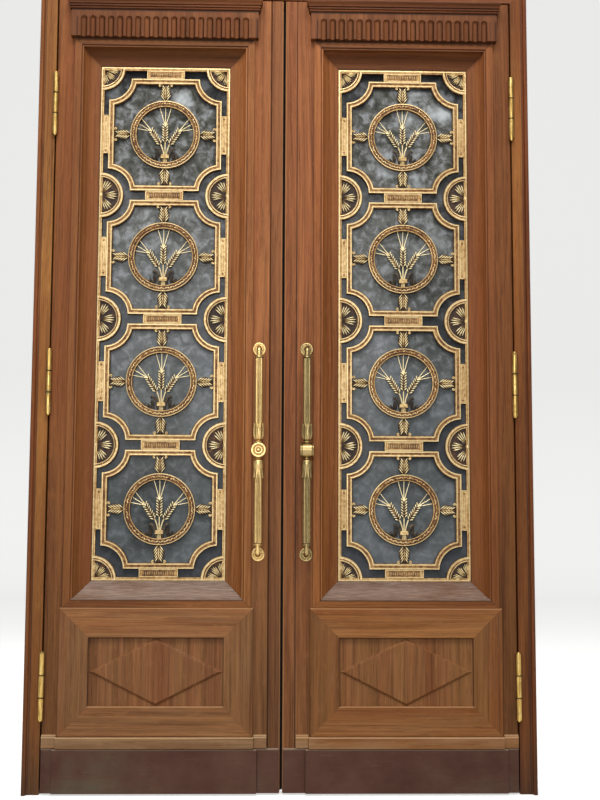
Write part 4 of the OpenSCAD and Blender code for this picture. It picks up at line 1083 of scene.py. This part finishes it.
# Each member's stain on the left and on the right leaf, width of eased edges, and what paints its wear,
# light and shade
MEMBERS = {
    # The hinge stiles' stains are darker partly as painted shade towards the jambs
    "hinge_stile": ((125, 75, 40), (113, 68, 36), 0.0012, None),
    "meeting_stile": ((144, 91, 54), (136, 82, 48), 0.0012, meeting_stile_joint_and_light),
    # The top rail's stain is dark as painted shadow under the frieze
    "top_rail": ((100, 58, 32), (100, 58, 32), None, None),
    "middle_rail": ((128, 80, 46), (124, 77, 44), None, None),
    "bottom_rail": ((110, 72, 42), (110, 72, 42), None, None),
    "cornice": ((99, 56, 28), (99, 56, 28), 0.0008, None),
    "fluted_frieze": ((118, 72, 42), (118, 72, 42), 0.0006, frieze_stains_light_and_shade),
    "light_surround": ((142, 89, 51), (138, 84, 47), 0.0008, moulding_light_shade_and_joints),
    "lower_frame": ((130, 88, 54), (128, 82, 44), 0.001, lower_frame_tones_and_light),
    "lozenge_panel": ((134, 92, 59), (128, 86, 52), 0.0008, wear_panel),
    "base_band": ((133, 99, 67), (135, 92, 53), 0.001, base_band_highlights),
    "glazing_beads": ((110, 70, 42), (110, 70, 42), None, None),
}
# Stains near the ground, darkened as painted shade
SHADED_LOW_STAINS = {
    "hinge_stile": ((103, 66, 37), (100, 63, 34)), "meeting_stile": ((118, 80, 49), (117, 76, 45)),
    "light_surround": ((130, 82, 43), (126, 78, 38)),
}
LYING = {"top_rail", "middle_rail", "bottom_rail", "cornice", "base_band"}
# Members that take painted shade towards the jambs
SHADED_SIDES = {"light_surround", "fluted_frieze", "cornice", "top_rail"}
BLEACHED = {"base_band": 0.35, "lower_frame": 0.1}
# The jambs' stains, darker than the leaves' partly as painted shade at the sides of the doorway
JAMB_STAINS = {"left": ((127, 81, 41), (118, 77, 40)), "right": ((113, 67, 33), (104, 62, 32))}
SILL_TONES = {"left": grey(0.79), "right": (0.7, 0.66, 0.65, 1)}
KICK_GREEN = {"left": 0.85, "right": 0.45}
PULL_TONES = {"left": ((218, 186, 124), (146, 112, 66)), "right": ((166, 144, 98), (96, 80, 48))}


def soften(node, width):
    """Eases the sharp edges of a CAD node with modifiers, which leave its mesh as it is."""
    o = NODES[node]
    weld = o.modifiers.new("weld", "WELD")
    weld.merge_threshold = 0.00002
    bevel = o.modifiers.new("ease", "BEVEL")
    bevel.width = width
    bevel.segments = 2
    bevel.limit_method = "ANGLE"
    bevel.angle_limit = radians(28)
    bevel.harden_normals = False


def dress(node, material, eased=None):
    """Gives a CAD node its material, slot and eased edges."""
    o = NODES[node]
    if not o.material_slots:
        o.data.materials.append(material)
    for s in o.material_slots:
        s.material = material
    if eased:
        soften(node, eased)


def leaf_oak(leaf, name, seed):
    """The oak of one member of a leaf, and the width of its eased edges."""
    *stains, eased, shade_and_wear = MEMBERS[name]
    right = leaf == "right"
    x = MIDDLE_X + LEAVES[leaf] * LEAF_X
    mitre = None
    if name in ("light_surround", "glazing_beads"):
        mitre = (x, (LIGHT_TOP + LIGHT_BOTTOM) / 2000, LIGHT_HALF / 1000,
                 (LIGHT_TOP - LIGHT_BOTTOM) / 2000)
    elif name == "lower_frame":
        mitre = (x, *RECESS)
    w = Oak(leaf, name, srgb(*stains[right]), seed, "x" if name in LYING else "z", mitre, 1.25)
    if name in SHADED_LOW_STAINS:
        w.shade_foot(srgb(*SHADED_LOW_STAINS[name][right]))
    if name in BLEACHED:
        w.bleach(BLEACHED[name])
    if shade_and_wear:
        shade_and_wear(w)
    if name in SHADED_SIDES:
        w.paint_side_shade(0.45)
    return w.done(), eased


def dress_timber():
    """Dresses the CAD nodes: oak, glass, kick plates and hinges."""
    seed = 100
    for leaf, s in LEAVES.items():
        for name in MEMBERS:
            seed += 7
            mat, eased = leaf_oak(leaf, name, seed)
            dress(f"{leaf}_{name}", mat, eased)
        dress(f"{leaf}_weathered_sill", weathered_oak(f"{leaf}_sill_oak", seed, SILL_TONES[leaf]),
              0.0008)
        dress(f"{leaf}_glass", pane_glass(f"{leaf}_pane_glass", 3 + s, MIDDLE_X + s * LEAF_X))
        dress(f"{leaf}_kick_plates", kick_bronze(f"{leaf}_kick_bronze", 5 + s, KICK_GREEN[leaf]),
              0.0012)
        dress(f"{leaf}_leaf_knuckles", hinge_brass(f"{leaf}_knuckle_brass", 2 + s))
        dress(f"{leaf}_frame_hinges", hinge_brass(f"{leaf}_hinge_brass", 4 + s))
        high, low = JAMB_STAINS[leaf]
        jamb = Oak(leaf, "jamb", srgb(*high), 31 + s, contrast=1.3)
        jamb.shade_foot(srgb(*low))
        jamb_tones_and_shade(jamb)
        dress(f"{leaf}_jamb", jamb.done(), 0.001)
    head = Oak("frame", "head", srgb(122, 76, 46), 77, "x", contrast=1.1)
    dress("frame_head", head.done(), 0.001)


def dress_metal():
    """Puts the finer grilles, wheat and pull handles in the place of the CAD nodes."""
    gold = gilding("gilding", 2, GILT_TONES)
    pale = gilding("pale_gilding", 4, PALE_TONES, 0.34)
    dull = gilding("dull_gilding", 6, DULL_TONES)
    rosettes, fans = build_rosettes()
    wheat, wheat_leaves = build_wheat()
    casts = (("grille_bars", build_bars(), gold), ("ring_medallions", build_rings(), gold),
             ("acanthus_clips", build_clips(), pale), ("rosettes", rosettes, gold),
             ("tablets", build_tablets(), gold), ("wheat", wheat, pale), ("palmettes", fans, pale),
             ("wheat_leaves", wheat_leaves, dull))
    for leaf, side in LEAVES.items():
        body = f"{leaf}_leaf"
        for name, cast, material in casts:
            o = cast.build(f"{leaf}_{name}", side, material)
            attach(o, body)
        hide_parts(f"{leaf}_grille")
        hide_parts(f"{leaf}_wheat_ears")
        light, dark = (srgb(*tone) for tone in PULL_TONES[leaf])
        pull = build_handle(side).build(f"{leaf}_pull", side,
                                        brass(f"{leaf}_pull_brass", light, dark, 8 + side))
        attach(pull, body)
        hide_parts(f"{leaf}_pull_handle")


def add_seals():
    """Dark brush seals on the meeting edges, which stand in for the shade in the joint of the leaves."""
    g = Graph("seal_bristle")
    hairs = g.noise(g.place(), 900, 2, 0.5)
    g.colour = g.ramp(hairs, [(0.3, srgb(20, 17, 15)), (0.7, srgb(46, 40, 36))])
    mat = g.finish(Roughness=0.9, Normal=g.bump(hairs, 0.0004, 0.5))
    for leaf, side in LEAVES.items():
        c = Cast()
        rng = Random(3)
        y0, y1 = (38, 46) if side < 0 else (50, 58)
        rows = []
        for t in fractions(360):
            # The free edge is ragged, made of tufts
            z = LEAF_FOOT + (LEAF_HEAD - LEAF_FOOT) * t
            tip = LEAF_EDGE + 6.2 + rng.uniform(-0.5, 0.4)
            rows.append([(LEAF_EDGE - 1, y0, z, 0), (tip, y0 + 2.5, z, 1), (tip, y1 - 2.5, z, 1),
                         (LEAF_EDGE - 1, y1, z, 0)])
        c.grid(rows, caps=2)
        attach(c.build(f"{leaf}_brush_seal", side, mat), f"{leaf}_leaf")


add_camera()
add_stage()
add_world()
add_lights()
dress_timber()
dress_metal()
add_seals()
bpy.context.scene.view_settings.view_transform = "Standard"
